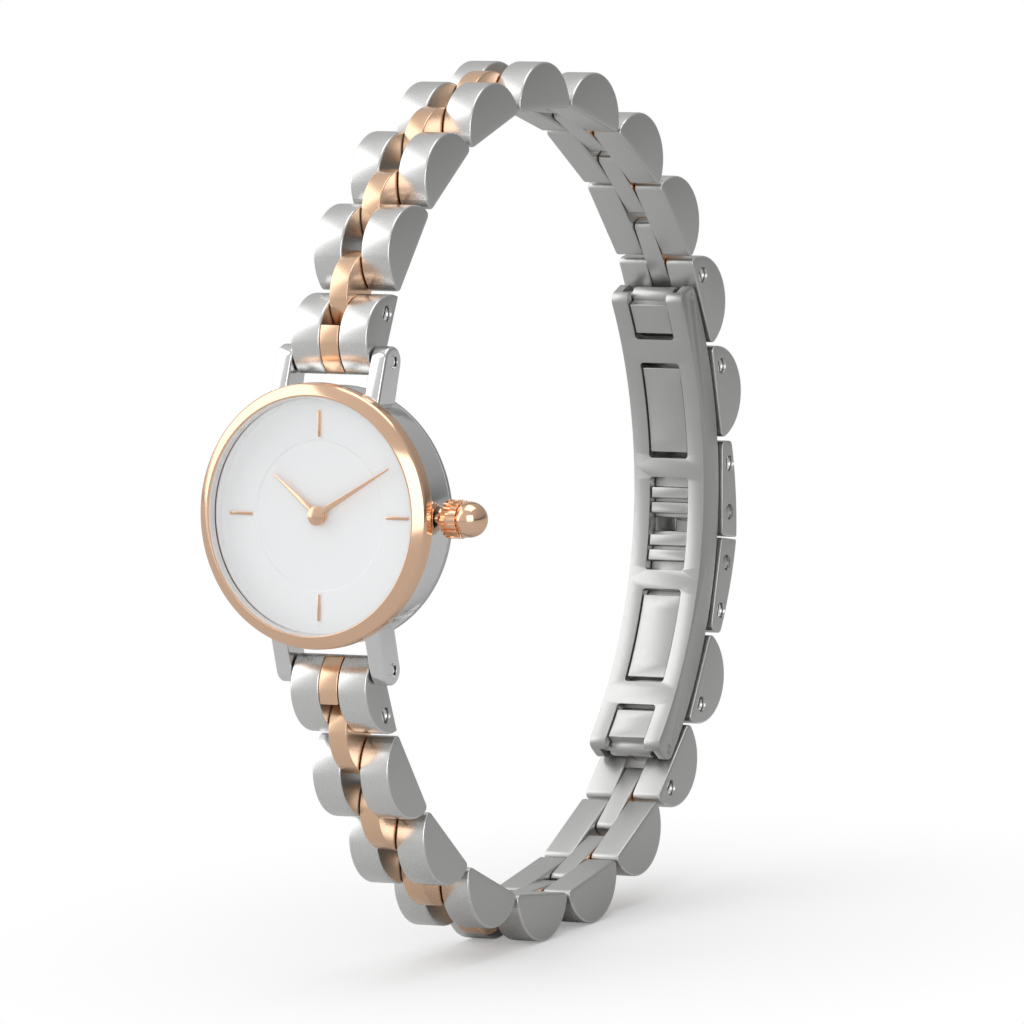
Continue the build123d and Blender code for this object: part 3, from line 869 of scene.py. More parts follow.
class Pattern:
    """A Geometry Nodes tree that repeats a mesh in a row or round an axis."""

    def __init__(
        self, name: str, materials: Sequence[bpy.types.Material], round_axis: bool
    ) -> None:
        """Build the tree with named inputs.

        Args:
            name: the tree's name.
            materials: the materials of the faces' zones, in order.
            round_axis: whether copies go round X instead of along it.
        """
        self.tree = bpy.data.node_groups.new(name, "GeometryNodeTree")
        sockets = self.tree.interface
        sockets.new_socket("Geometry", in_out="INPUT", socket_type="NodeSocketGeometry")
        sockets.new_socket("Count", in_out="INPUT", socket_type="NodeSocketInt")
        sockets.new_socket("Spacing", in_out="INPUT", socket_type="NodeSocketFloat")
        sockets.new_socket("Geometry", in_out="OUTPUT", socket_type="NodeSocketGeometry")
        copies = self.copies(self.node("NodeGroupInput"), round_axis)
        last = self.node("GeometryNodeRealizeInstances")
        self.join(copies, 0, last, "Geometry")
        for number, material in enumerate(materials):
            last = self.dressed(last, number, material)
        self.join(last, 0, self.node("NodeGroupOutput"), "Geometry")

    def copies(self, start: bpy.types.Node, round_axis: bool) -> bpy.types.Node:
        """Add the nodes that repeat the mesh.

        Args:
            start: the tree's inputs.
            round_axis: whether copies go round X instead of along it.

        Returns:
            The node with the copies.
        """
        line = self.node("GeometryNodeMeshLine")
        line.inputs["Offset"].default_value = (0.0, 0.0, 0.0)
        self.join(start, "Count", line, "Count")
        copies = self.node("GeometryNodeInstanceOnPoints")
        self.join(line, 0, copies, "Points")
        self.join(start, "Geometry", copies, "Instance")
        along_x = self.node("ShaderNodeCombineXYZ")
        if round_axis:
            turn = self.node("ShaderNodeMath")
            turn.operation = "MULTIPLY"
            self.join(self.node("GeometryNodeInputIndex"), 0, turn, 0)
            self.join(start, "Spacing", turn, 1)
            self.join(turn, 0, along_x, "X")
            self.join(along_x, 0, copies, "Rotation")
        else:
            self.join(start, "Spacing", along_x, "X")
            self.join(along_x, 0, line, "Offset")
        return copies

    def dressed(
        self, last: bpy.types.Node, number: int, material: bpy.types.Material
    ) -> bpy.types.Node:
        """Add the nodes that give one zone its material.

        Args:
            last: the node with the geometry so far.
            number: the zone's number.
            material: its material.

        Returns:
            The node with the dressed geometry.
        """
        zone = self.node("GeometryNodeInputNamedAttribute")
        zone.data_type = "INT"
        zone.inputs["Name"].default_value = ZONE_ATTRIBUTE
        same = self.node("FunctionNodeCompare")
        same.data_type = "INT"
        same.operation = "EQUAL"
        self.join(zone, "Attribute", same, COMPARE_FIRST)
        same.inputs[COMPARE_SECOND].default_value = number
        dress = self.node("GeometryNodeSetMaterial")
        dress.inputs["Material"].default_value = material
        self.join(last, 0, dress, "Geometry")
        self.join(same, 0, dress, "Selection")
        return dress

    def node(self, kind: str) -> bpy.types.Node:
        """Add a node."""
        return self.tree.nodes.new(kind)

    def join(
        self, source: bpy.types.Node, output: Any, target: bpy.types.Node, socket: Any
    ) -> None:
        """Link two nodes."""
        self.tree.links.new(source.outputs[output], target.inputs[socket])

    def apply(self, piece: bpy.types.Object, count: int, spacing: float) -> bpy.types.Object:
        """Repeat a piece's mesh and return the result as a plain piece.

        Args:
            piece: the unit piece, which is used up.
            count: how many copies.
            spacing: distance, or turn in radians, between copies.

        Returns:
            A new object with the same name.
        """
        name = piece.name
        zones = piece.data.attributes.new(ZONE_ATTRIBUTE, "INT", "FACE")
        zones.data.foreach_set("value", [polygon.material_index for polygon in piece.data.polygons])
        modifier = piece.modifiers.new("pattern", "NODES")
        modifier.node_group = self.tree
        values = {"Count": count, "Spacing": spacing}
        for item in self.tree.interface.items_tree:
            if item.item_type == "SOCKET" and item.in_out == "INPUT" and item.name in values:
                modifier[item.identifier] = values[item.name]
        graph = bpy.context.evaluated_depsgraph_get()
        data = bpy.data.meshes.new_from_object(piece.evaluated_get(graph))
        bpy.data.objects.remove(piece)
        data.set_sharp_from_angle(angle=radians(SHARP_LINK))
        result = bpy.data.objects.new(name, data)
        bpy.context.scene.collection.objects.link(result)
        return result


def settle(piece: bpy.types.Object, matrix: Matrix) -> bpy.types.Object:
    """Bake a matrix into a piece's mesh and leave its object at the origin.

    Args:
        piece: the piece to place.
        matrix: its place.

    Returns:
        The same piece.
    """
    piece.data.transform(matrix)
    piece.data.update()
    return piece


def cut(
    piece: bpy.types.Object, cutter: bpy.types.Object, smooth: float = SHARP_LINK
) -> bpy.types.Object:
    """Cut one piece with another, which is used up.

    Args:
        piece: the piece to cut.
        cutter: the solid to take away.
        smooth: edges sharper than this many degrees stay sharp.

    Returns:
        The cut piece.
    """
    hole = piece.modifiers.new("holes", "BOOLEAN")
    hole.object = cutter
    hole.operation = "DIFFERENCE"
    return hardened(piece, smooth, cutter)


def hardened(piece: bpy.types.Object, smooth: float, *used: bpy.types.Object) -> bpy.types.Object:
    """Turn a piece's modifiers into plain mesh and drop the objects that they used.

    Args:
        piece: the piece with its modifiers.
        smooth: edges sharper than this many degrees stay sharp.
        used: objects that aren't needed any more.

    Returns:
        The same piece.
    """
    graph = bpy.context.evaluated_depsgraph_get()
    data = bpy.data.meshes.new_from_object(piece.evaluated_get(graph))
    piece.modifiers.clear()
    piece.data = data
    known = [material for material in data.materials if material is not None]
    for slot, material in enumerate(data.materials):
        if material is None:
            data.materials[slot] = known[0]
    data.set_sharp_from_angle(angle=radians(smooth))
    for helper in used:
        bpy.data.objects.remove(helper)
    return piece


@dataclass
class Bracelet:
    """Side links, centre links, end links and their visible pins, in millimetres."""

    loop: Loop
    palette: Palette
    side_width: float = 2.5
    centre_width: float = 1.6
    side_clearance: float = 0.06
    gap: float = 0.45
    flat: float = 1.05
    corner: float = 0.45
    centre_gap: float = 1.1
    centre_inset: float = 0.1
    end_drop: float = 0.45
    end_crown_share: float = 0.1
    rim: float = 0.16
    centre_rim: float = 0.09
    end_steps: int = 44
    eye_steps: int = 12
    meeting_gap: float = 0.16
    meeting_end_depth: float = 2.2
    meeting_middle_depth: float = 2.05
    meeting_narrow_depth: float = 1.4
    meeting_narrow_corner: float = 0.36
    meeting_corner: float = 0.6
    meeting_edge: float = 0.22
    meeting_inner: float = 0.25
    meeting_rim: float = 0.1
    meeting_steps: int = 24
    meeting_corner_steps: int = 3
    pin_seat: float = 0.62
    pin_seat_steps: int = 28
    pin_gap: float = 0.09
    pin_edge: float = 0.06
    pin_overlap: float = 0.05
    pin_steps: int = 14
    pin_recess: float = 0.22
    pin_hole_depth: float = 0.5
    slot_width: float = 0.18
    screwed_rows: dict[int, tuple[str, ...]] = field(
        default_factory=lambda: {
            0: ("last",),
            8: ("first",),
            9: ("first",),
            10: ("first", "last"),
            11: ("first", "last"),
            12: ("last",),
            13: ("last",),
            20: ("first",),
        }
    )

    def __post_init__(self) -> None:
        """Work out the shared sizes and the patterns."""
        self.inner = self.centre_width / 2 + self.side_clearance
        self.outer = self.inner + self.side_width
        self.half = (self.loop.pitch - self.gap) / 2
        self.centre_half = (self.loop.pitch - self.centre_gap) / 2
        look = self.palette
        # The side and inner steel colours, also on the centre links' inner flats, are darkened as
        # painted shade.
        steel = (look.steel_round, look.steel_side_shaded, look.steel_inner_shaded)
        self.rose = (look.rose_satin, look.rose, look.steel_inner_shaded)
        self.pair = Pattern("link_pair", steel, False)

    def body(self, row: int) -> str:
        """Name the CAD body that carries a row.

        Args:
            row: the row's number round the loop.

        Returns:
            The body's name.
        """
        if row < self.loop.upper_rows:
            return f"upper_{row:02d}"
        return f"lower_{self.loop.row_count - 1 - row:02d}"

    def side_node(self, row: int) -> str:
        """Name of the CAD node of a row's side links."""
        half, number = self.body(row).split("_")
        return f"{half}_side_links_{number}"

    def end_outline(self, at_start: bool) -> list[Point2]:
        """Outline of an end link with its eye round the spring bar.

        Args:
            at_start: whether the eye is at the row's start.

        Returns:
            The outline's points, anticlockwise.
        """
        eye = -self.loop.pin_spacing / 2
        right = (self.half, -self.flat)
        crown = (self.end_crown_share * self.half, self.half - self.flat - self.end_drop)
        left = (eye - self.flat, 0.0)
        crest = three_point_arc(right, crown, left, self.end_steps)
        points = crest + arc((eye, 0), self.flat, pi, 3 * pi / 2, self.eye_steps)[1:]
        if not at_start:
            points = [(-t, n) for t, n in reversed(points)]
        return points

    def meeting_outline(self, at_end: bool) -> list[Point2]:
        """Outline of a link that meets its neighbour over the clasp.

        Args:
            at_end: whether the square end is at the row's end.

        Returns:
            The outline's points, anticlockwise.
        """
        before, after = (self.loop.rows[self.loop.upper_rows + k].along for k in (-1, 0))
        bend = acos(before[0] * after[0] + before[1] * after[1]) / 2
        square = (self.loop.pitch - self.meeting_gap) / 2
        outer = self.meeting_end_depth - self.flat
        narrow = (-self.half, self.meeting_narrow_depth - self.flat)
        top = (square + outer * tan(bend), outer)
        bottom = (square - self.flat * tan(bend), -self.flat)
        middle = (0.0, self.meeting_middle_depth - self.flat)
        # The first and last points make room for the rounded corners
        crest = three_point_arc(top, middle, narrow, self.meeting_steps)[2:-3]
        corners = [narrow, (-self.half, -self.flat), bottom, top] + crest
        cuts = [self.meeting_narrow_corner, self.meeting_corner]
        cuts += [self.meeting_inner, self.meeting_edge]
        points = rounded(corners, cuts + [0.0] * len(crest), self.meeting_corner_steps)
        if not at_end:
            points = [(-t, n) for t, n in reversed(points)]
        return points

    def pins(self, row: int) -> list[Point2]:
        """Place a row's visible pins.

        Args:
            row: the row's number round the loop.

        Returns:
            Each pin's place, as (t, n) in the row.
        """
        half = self.loop.pin_spacing / 2
        ends = self.screwed_rows.get(row, ())
        return [(-half if end == "first" else half, 0.0) for end in ends]

    def cutter(self, pin: Point2, way: int, local: Matrix) -> bpy.types.Object:
        """Make the cylinder that sinks one pin hole into an outer face.

        Args:
            pin: the pin's place, as (t, n) in the row.
            way: 1 for the face on +X, -1 for the face on -X.
            local: matrix from the row to the loop's frame.

        Returns:
            The cylinder.
        """
        maker = MeshMaker()
        outline = arc(pin, self.pin_seat, 0, 2 * pi, self.pin_seat_steps)[:-1]
        ends = (way * (self.outer - self.pin_hole_depth), way * (self.outer + CUT_OVERRUN))
        maker.prism(outline, min(ends), max(ends), CUTTER_EDGE, local)
        return maker.finish("cutter", ())

    def build_row(self, row: int) -> None:
        """Build and place one row's side links, with pin holes and pins where they show.

        Args:
            row: the row's number round the loop.
        """
        local = self.loop.rows[row].matrix()
        rim = self.rim
        if row in (0, self.loop.row_count - 1):
            outline = self.end_outline(row == 0)
        elif row in (self.loop.upper_rows - 1, self.loop.upper_rows):
            outline = self.meeting_outline(row < self.loop.upper_rows)
            rim = self.meeting_rim
        else:
            outline = half_round(self.half, self.flat, self.corner)
        maker = MeshMaker()
        maker.prism(outline, -self.outer, -self.inner, rim, Matrix(), zones=True)
        unit = maker.finish(self.side_node(row) + "_look", ())
        piece = self.pair.apply(unit, 2, self.side_width + 2 * self.inner)
        settle(piece, self.loop.matrix @ local)
        for pin in self.pins(row):
            for way in (-1, 1):
                cut(piece, settle(self.cutter(pin, way, local), self.loop.matrix))
        if self.pins(row):
            pins = settle(self.pin_heads(row, local), self.loop.matrix)
            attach(pins, self.body(row))
        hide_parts(self.side_node(row))
        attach(piece, self.body(row))
        LOG.info("row %s: %s", row, piece.name)

    def pin_heads(self, row: int, local: Matrix) -> bpy.types.Object:
        """Build the slotted pin ends that sit in a row's holes.

        Args:
            row: the row's number.
            local: matrix from the row to the loop's frame.

        Returns:
            One piece with every head of the row.
        """
        maker = MeshMaker()
        radius = self.pin_seat - self.pin_gap
        slot = asin(self.slot_width / 2 / radius)
        face = self.outer - self.pin_recess
        back = self.outer - self.pin_hole_depth - self.pin_overlap
        for pin in self.pins(row):
            for half in (0.0, pi):
                points = arc(pin, radius, half + slot, half + pi - slot, self.pin_steps)
                maker.prism(points, back, face, self.pin_edge, local)
                maker.prism(points, -face, -back, self.pin_edge, local)
        return maker.finish(self.side_node(row) + "_pins", (self.palette.steel_bright,))

    def build_centre(self, row: int) -> None:
        """Build the centre link from a row to the next one round the loop.

        Args:
            row: the row at its start.
        """
        rows = self.loop.rows
        start = rows[row].point(self.loop.pin_spacing / 2, 0)
        end = rows[row + 1].point(-self.loop.pin_spacing / 2, 0)
        local = Row(start, end).matrix()
        owner = row if row < self.loop.upper_rows else row + 1
        half, number = self.body(owner).split("_")
        node = f"{half}_centre_link_{number}"
        maker = MeshMaker()
        outline = half_round(self.centre_half, self.flat - self.centre_inset, self.corner)
        width = self.centre_width / 2
        place = self.loop.matrix @ local
        maker.prism(outline, -width, width, self.centre_rim, place, zones=True)
        piece = maker.finish(node + "_look", self.rose)
        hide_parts(node)
        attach(piece, self.body(owner))
        LOG.info("centre link %s", node)

    def build_insert(self, at_start: bool) -> None:
        """Build the short middle slice of an end link.

        Args:
            at_start: whether it is the upper end link's.
        """
        row = 0 if at_start else self.loop.row_count - 1
        name = "upper_end_insert" if at_start else "lower_end_insert"
        limit = self.loop.pitch / 2 - self.centre_half - self.gap
        way = 1 if at_start else -1
        cropped = [(way * min(way * t, limit), n) for t, n in self.end_outline(at_start)]
        outline = without_repeats(cropped, way * limit)
        maker = MeshMaker()
        width = self.centre_width / 2
        place = self.loop.matrix @ self.loop.rows[row].matrix()
        maker.prism(outline, -width, width, self.centre_rim, place, zones=True)
        piece = maker.finish(name + "_look", self.rose)
        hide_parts(name)
        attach(piece, self.body(row))
        LOG.info("end insert %s", name)

    def build(self) -> None:
        """Build every row of the bracelet."""
        for row in range(self.loop.row_count):
            self.build_row(row)
            if row not in (self.loop.upper_rows - 1, self.loop.row_count - 1):
                self.build_centre(row)
        self.build_insert(True)
        self.build_insert(False)


@dataclass
class WatchHead:
    """Bezel, band with lugs, back, crystal, dial and crown, in millimetres.

    The lugs clear the links' outer faces, which are links_outer from the middle.
    """

    loop: Loop
    palette: Palette
    links_outer: float
    bezel_radius: float = 10.0
    bezel_depth: float = 1.9
    slope_width: float = 1.0
    slope_drop: float = 0.55
    inner_rim: float = 0.12
    side_foot: float = 0.35
    bezel_rounds: tuple[float, ...] = (0.04, 0.05, 0.22, 0.1, 0.04, 0.04)
    case_radius: float = 9.7
    band_depth: float = 2.6
    wall: float = 0.9
    band_rounds: tuple[float, ...] = (0, 0.06, 0.12, 0)
    back_depth: float = 0.9
    back_radius: float = 8.9
    back_step: float = 0.35
    back_rounds: tuple[float, ...] = (0, 0.05, 0.08, 0.08, 0)
    bar_from_front: float = 4.2
    crystal_drop: float = 0.1
    crystal_thickness: float = 0.7
    crystal_chamfer: float = 0.1
    gasket: float = 0.15
    dial_radius: float = 8.9
    dial_thickness: float = 0.35
    dial_rim_width: float = 0.3
    dial_rim_height: float = 0.5
    dial_step_radius: float = 5.7
    dial_step: float = 0.1
    dial_step_width: float = 0.12
    dial_hole: float = 0.55
    dial_rounds: tuple[float, ...] = (0, 0.05, 0.05, 0.12, 0.06, 0, 0, 0)
    lug_width: float = 1.35
    lug_end: float = 1.15
    lug_root: float = 0.3
    lug_root_inset: float = 0.35
    lug_root_sink: float = 0.3
    lug_clearance: float = 0.12
    lug_edge: float = 0.22
    lug_steps: int = 48
    bar_tip: float = 0.4
    hole_clearance: float = 0.14
    hole_depth: float = 0.35
    hole_steps: int = 32
    crown_from_front: float = 3.2
    crown_gap: float = 0.25
    crown_neck: float = 0.35
    crown_neck_radius: float = 0.95
    crown_length: float = 1.9
    crown_radius: float = 1.45
    crown_dome: float = 1.35
    crown_base_rise: float = 0.1
    crown_dome_sink: float = 0.45
    crown_dome_start: float = -0.3
    crown_dome_steps: int = 14
    crown_groove_width: float = 0.12
    crown_groove_depth: float = 0.25
    crown_steps: int = 96
    crown_ridges: int = 20
    ridge_height: float = 0.16
    ridge_root: float = 0.15
    ridge_share: float = 0.62
    ridge_top_share: float = 0.55
    ridge_end_gap: float = 0.05
    ridge_edge: float = 0.07
    steps: int = 192

    def __post_init__(self) -> None:
        """Work out the planes from front to back."""
        self.front = self.loop.first_pins[0][0] - self.bar_from_front
        self.band_front = self.front + self.bezel_depth
        self.band_back = self.band_front + self.band_depth
        self.back = self.band_back + self.back_depth
        self.opening = self.bezel_radius - self.slope_width
        self.cavity = self.case_radius - self.wall
        self.dial_front = self.band_front - self.dial_thickness

    def ring(
        self,
        node: str,
        profile: Sequence[Point2],
        material: bpy.types.Material,
        smooth: float = SHARP_TURNED,
    ) -> None:
        """Build a turned piece that replaces a node of the case.

        Args:
            node: the CAD node that it stands for.
            profile: (radius, y) section.
            material: its finish.
            smooth: edges sharper than this many degrees stay sharp.
        """
        maker = MeshMaker()
        maker.turned(profile, self.steps, self.loop.matrix, closed=profile[0][0] > TINY)
        piece = maker.finish(node + "_look", (material,), smooth)
        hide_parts(node)
        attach(piece, "case")
        LOG.info("turned piece %s", node)

    def build_bezel(self) -> None:
        """Build the sloping bezel ring."""
        corners = [
            (self.opening, self.front),
            (self.opening + self.inner_rim, self.front),
            (self.bezel_radius, self.front + self.slope_drop),
            (self.bezel_radius, self.band_front - self.side_foot),
            (self.case_radius, self.band_front),
            (self.opening, self.band_front),
        ]
        section = rounded(corners, self.bezel_rounds)
        self.ring("bezel", section, self.palette.rose, SHARP_BEZEL)

    def build_crystal(self) -> None:
        """Build the clear crystal with its chamfered rim."""
        radius = self.opening - self.gasket
        front = self.front + self.crystal_drop
        back = front + self.crystal_thickness
        section = [
            (0.0, front),
            (radius - self.crystal_chamfer, front),
            (radius, front + self.crystal_chamfer),
            (radius, back),
            (0.0, back),
        ]
        self.ring("crystal", section, self.palette.glass)

    def build_dial(self) -> None:
        """Build the dial: a sunk centre, a flat outer zone and a raised rim."""
        top, rim = self.dial_front, self.dial_front - self.dial_rim_height
        corners = [
            (self.dial_hole, top + self.dial_step),
            (self.dial_step_radius - self.dial_step_width, top + self.dial_step),
            (self.dial_step_radius, top),
            (self.dial_radius - self.dial_rim_width, top),
            (self.dial_radius - self.dial_rim_width / 2, rim),
            (self.dial_radius, rim),
            (self.dial_radius, self.band_front),
            (self.dial_hole, self.band_front),
        ]
        section = rounded(corners, self.dial_rounds)
        self.ring("dial", section, self.palette.white, SHARP_DIAL)

    def lug_outline(self, bar: Point2) -> list[Point2]:
        """Wrap a lug's outline round its eye and its two root circles.

        Args:
            bar: the spring bar's place, as (y, z).

        Returns:
            Anticlockwise (y, z) points.
        """
        up = 1 if bar[1] > 0 else -1
        reach = self.links_outer + self.lug_clearance + self.lug_width
        root_z = up * (sqrt(self.case_radius**2 - reach**2) - self.lug_root_sink)
        circles = [
            (bar, self.lug_end),
            ((self.band_front + self.lug_root_inset, root_z), self.lug_root),
            ((self.band_back - self.lug_root_inset, root_z), self.lug_root),
        ]
        outline = [
            point
            for centre, radius in circles
            for point in arc(centre, radius, 0, 2 * pi, self.lug_steps)[:-1]
        ]
        return hull(outline)

    def drilled_lug(self, bar: Point2, low: float) -> bpy.types.Object:
        """Build one lug with the drilled hole in its outer face.

        Args:
            bar: the spring bar's place, as (y, z).
            low: where the lug starts along X.

        Returns:
            The lug, in the loop's frame.
        """
        maker = MeshMaker()
        high = low + self.lug_width
        maker.prism(self.lug_outline(bar), low, high, self.lug_edge, Matrix())
        piece = maker.finish("lug", (self.palette.steel_bright,), SHARP_CASE)
        radius = self.bar_tip + self.hole_clearance
        outline = arc(bar, radius, 0, 2 * pi, self.hole_steps)[:-1]
        start, end = low - CUT_OVERRUN, low + self.hole_depth
        if low > 0:
            start, end = high - self.hole_depth, high + CUT_OVERRUN
        drill = MeshMaker()
        drill.prism(outline, start, end, CUTTER_EDGE, Matrix())
        return cut(piece, drill.finish("cutter", ()), SHARP_CASE)

    def build_band(self) -> None:
        """Build the case band and its four drilled lugs."""
        maker = MeshMaker()
        corners = [
            (self.cavity, self.band_front),
            (self.case_radius, self.band_front),
            (self.case_radius, self.band_back),
            (self.cavity, self.band_back),
        ]
        maker.turned(rounded(corners, self.band_rounds), self.steps, Matrix())
        inner = self.links_outer + self.lug_clearance
        for low in (inner, -inner - self.lug_width):
            for bar in (self.loop.first_pins[0], self.loop.last_pins[-1]):
                lug = self.drilled_lug(bar, low)
                maker.mesh.from_mesh(lug.data)
                bpy.data.objects.remove(lug)
        piece = maker.finish("case_band_look", (self.palette.steel_bright,), SHARP_CASE)
        settle(piece, self.loop.matrix)
        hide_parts("case_band")
        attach(piece, "case")
        LOG.info("case band with four lugs")

    def build_back(self) -> None:
        """Build the caseback."""
        corners = [
            (0.0, self.band_back),
            (self.case_radius, self.band_back),
            (self.case_radius, self.band_back + self.back_step),
            (self.back_radius, self.back),
            (0.0, self.back),
        ]
        # The caseback takes the inner flats' steel, darkened as painted shade.
        self.ring("caseback", rounded(corners, self.back_rounds), self.palette.steel_inner_shaded)

    def build_crown(self) -> None:
        """Build the ridged crown with its round end."""
        start = self.case_radius + self.crown_gap
        base = start + self.crown_neck
        tip = base + self.crown_length
        dome_start = tip - self.crown_dome_sink
        axis_y = self.front + self.crown_from_front
        self.build_crown_body(start, base, dome_start, tip, axis_y)
        self.build_crown_ridges(base, dome_start, axis_y)
        LOG.info("crown with %s ridges", self.crown_ridges)

    def build_crown_body(
        self, start: float, base: float, dome_start: float, tip: float, axis_y: float
    ) -> None:
        """Build the crown's neck, barrel and dome.

        Args:
            start: where the neck starts along X.
            base: where the barrel starts.
            dome_start: where the barrel ends.
            tip: the middle of the dome's sphere.
            axis_y: the crown's place from front to back.
        """
        core = self.crown_radius - self.ridge_height
        sweep = pi / 2 - self.crown_dome_start
        turns = [
            self.crown_dome_start + sweep * k / self.crown_dome_steps
            for k in range(self.crown_dome_steps)
        ]
        section = [
            (0.0, start),
            (self.crown_neck_radius, start),
            (self.crown_neck_radius, base),
            (core, base + self.crown_base_rise),
            (core, dome_start - self.crown_groove_width),
            (core - self.crown_groove_depth, dome_start),
            *[(self.crown_dome * cos(a), tip + self.crown_dome * sin(a)) for a in turns],
            (0.0, tip + self.crown_dome),
        ]
        sideways = Matrix(((0, 1, 0, 0), (1, 0, 0, 0), (0, 0, -1, 0), (0, 0, 0, 1)))
        axis = Matrix.Translation((0, axis_y, 0)) @ sideways
        maker = MeshMaker()
        maker.turned(section, self.crown_steps, axis, closed=False)
        body = maker.finish("crown_look", (self.palette.rose,), SHARP_CROWN)
        settle(body, self.loop.matrix)
        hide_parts("crown")
        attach(body, "crown")

    def build_crown_ridges(self, base: float, dome_start: float, axis_y: float) -> None:
        """Build the ridges round the crown's barrel.

        Args:
            base: where the barrel starts along X.
            dome_start: where it ends.
            axis_y: the crown's place from front to back.
        """
        core = self.crown_radius - self.ridge_height
        foot = core - self.ridge_root
        half = pi * core / self.crown_ridges * self.ridge_share
        half_top = half * self.ridge_top_share
        outline = [(-half, foot), (half, foot)]
        outline += [(half_top, self.crown_radius), (-half_top, self.crown_radius)]
        ends = (base + self.ridge_end_gap, dome_start - self.ridge_end_gap)
        maker = MeshMaker()
        maker.prism(outline, *ends, self.ridge_edge, Matrix())
        unit = maker.finish("crown_ridges", ())
        flutes = Pattern("crown_flutes", (self.palette.rose,), True)
        ridges = flutes.apply(unit, self.crown_ridges, 2 * pi / self.crown_ridges)
        settle(ridges, self.loop.matrix @ Matrix.Translation((0, axis_y, 0)))
        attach(ridges, "crown")

    def build(self) -> None:
        """Build the whole head."""
        self.build_bezel()
        self.build_crystal()
        self.build_dial()
        self.build_band()
        self.build_back()
        self.build_crown()


@dataclass
class EdgeBreaker:
    """Copies CAD nodes and breaks their sharp edges, in millimetres."""

    nodes: dict[str, bpy.types.Object]
    segments: int = 2
    angle: float = 40.0
    flat_angle: float = 0.6
    merge: float = 0.004

    def copy(self, node: str, body: str, material: bpy.types.Material, edge: float) -> None:
        """Copy a node, break its edges and let the copy stand for it.

        Args:
            node: the CAD node.
            body: the body that the copy rides on.
            material: its finish.
            edge: width of the broken edges.
        """
        mesh = bmesh.new()
        mesh.from_mesh(self.nodes[node].data)
        bmesh.ops.remove_doubles(mesh, verts=mesh.verts, dist=self.merge * METRES_PER_MM)
        flat = radians(self.flat_angle)
        bmesh.ops.dissolve_limit(mesh, angle_limit=flat, verts=mesh.verts, edges=mesh.edges)
        for face in mesh.faces:
            face.material_index = 0
        data = bpy.data.meshes.new(node + "_look")
        mesh.to_mesh(data)
        mesh.free()
        piece = MeshMaker.wrap(node + "_look", data, (material,), SHARP_CLASP)
        bevel = piece.modifiers.new("edges", "BEVEL")
        bevel.width = edge * METRES_PER_MM
        bevel.segments = self.segments
        bevel.limit_method = "ANGLE"
        bevel.angle_limit = radians(self.angle)
        normals = piece.modifiers.new("flat_faces", "WEIGHTED_NORMAL")
        normals.keep_sharp = True
        hardened(piece, SHARP_CLASP)
        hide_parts(node)
        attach(piece, body)
        LOG.info("edges broken on %s", node)


@dataclass
class Clasp:
    """Folding clasp: channel and two arms, with their edges broken."""

    palette: Palette
    breaker: EdgeBreaker
    edge: float = 0.1

    def build(self) -> None:
        """Build the channel and both arms."""
        # The clasp's steel is darkened as painted shade.
        for node in ("clasp_channel", "clasp_upper_arm", "clasp_lower_arm"):
            self.breaker.copy(node, node, self.palette.clasp, self.edge)


@dataclass
class SmallParts:
    """Hands, hour markers and the pieces inside the case."""

    palette: Palette
    breaker: EdgeBreaker
    edge: float = 0.03

    def dress(self, node: str, material: bpy.types.Material) -> None:
        """Give a CAD node one finish.

        Args:
            node: the CAD node.
            material: its finish.
        """
        data = self.breaker.nodes[node].data
        data.materials.clear()
        data.materials.append(material)

    def build(self) -> None:
        """Finish the hands, the markers and every hidden piece."""
        bodies = {"hour_markers": "case", "hour_hand": "hour_hand", "minute_hand": "minute_hand"}
        for node, body in bodies.items():
            self.breaker.copy(node, body, self.palette.rose, self.edge)
        self.dress("movement", self.palette.brass)
        self.dress("case_gaskets", self.palette.seal)
        for node in ("battery", "crown_stem", "setting_sleeve", "spring_bars"):
            self.dress(node, self.palette.steel_bright)
        LOG.info("hands, markers and hidden pieces")


@dataclass(frozen=True)
class Softbox:
    """A square lamp that faces the watch.

    Attributes:
        name: the lamp's name.
        place: its place in metres.
        size: its side in metres.
        power: its power in watts.
    """

    name: str
    place: Point3
    size: float
    power: float


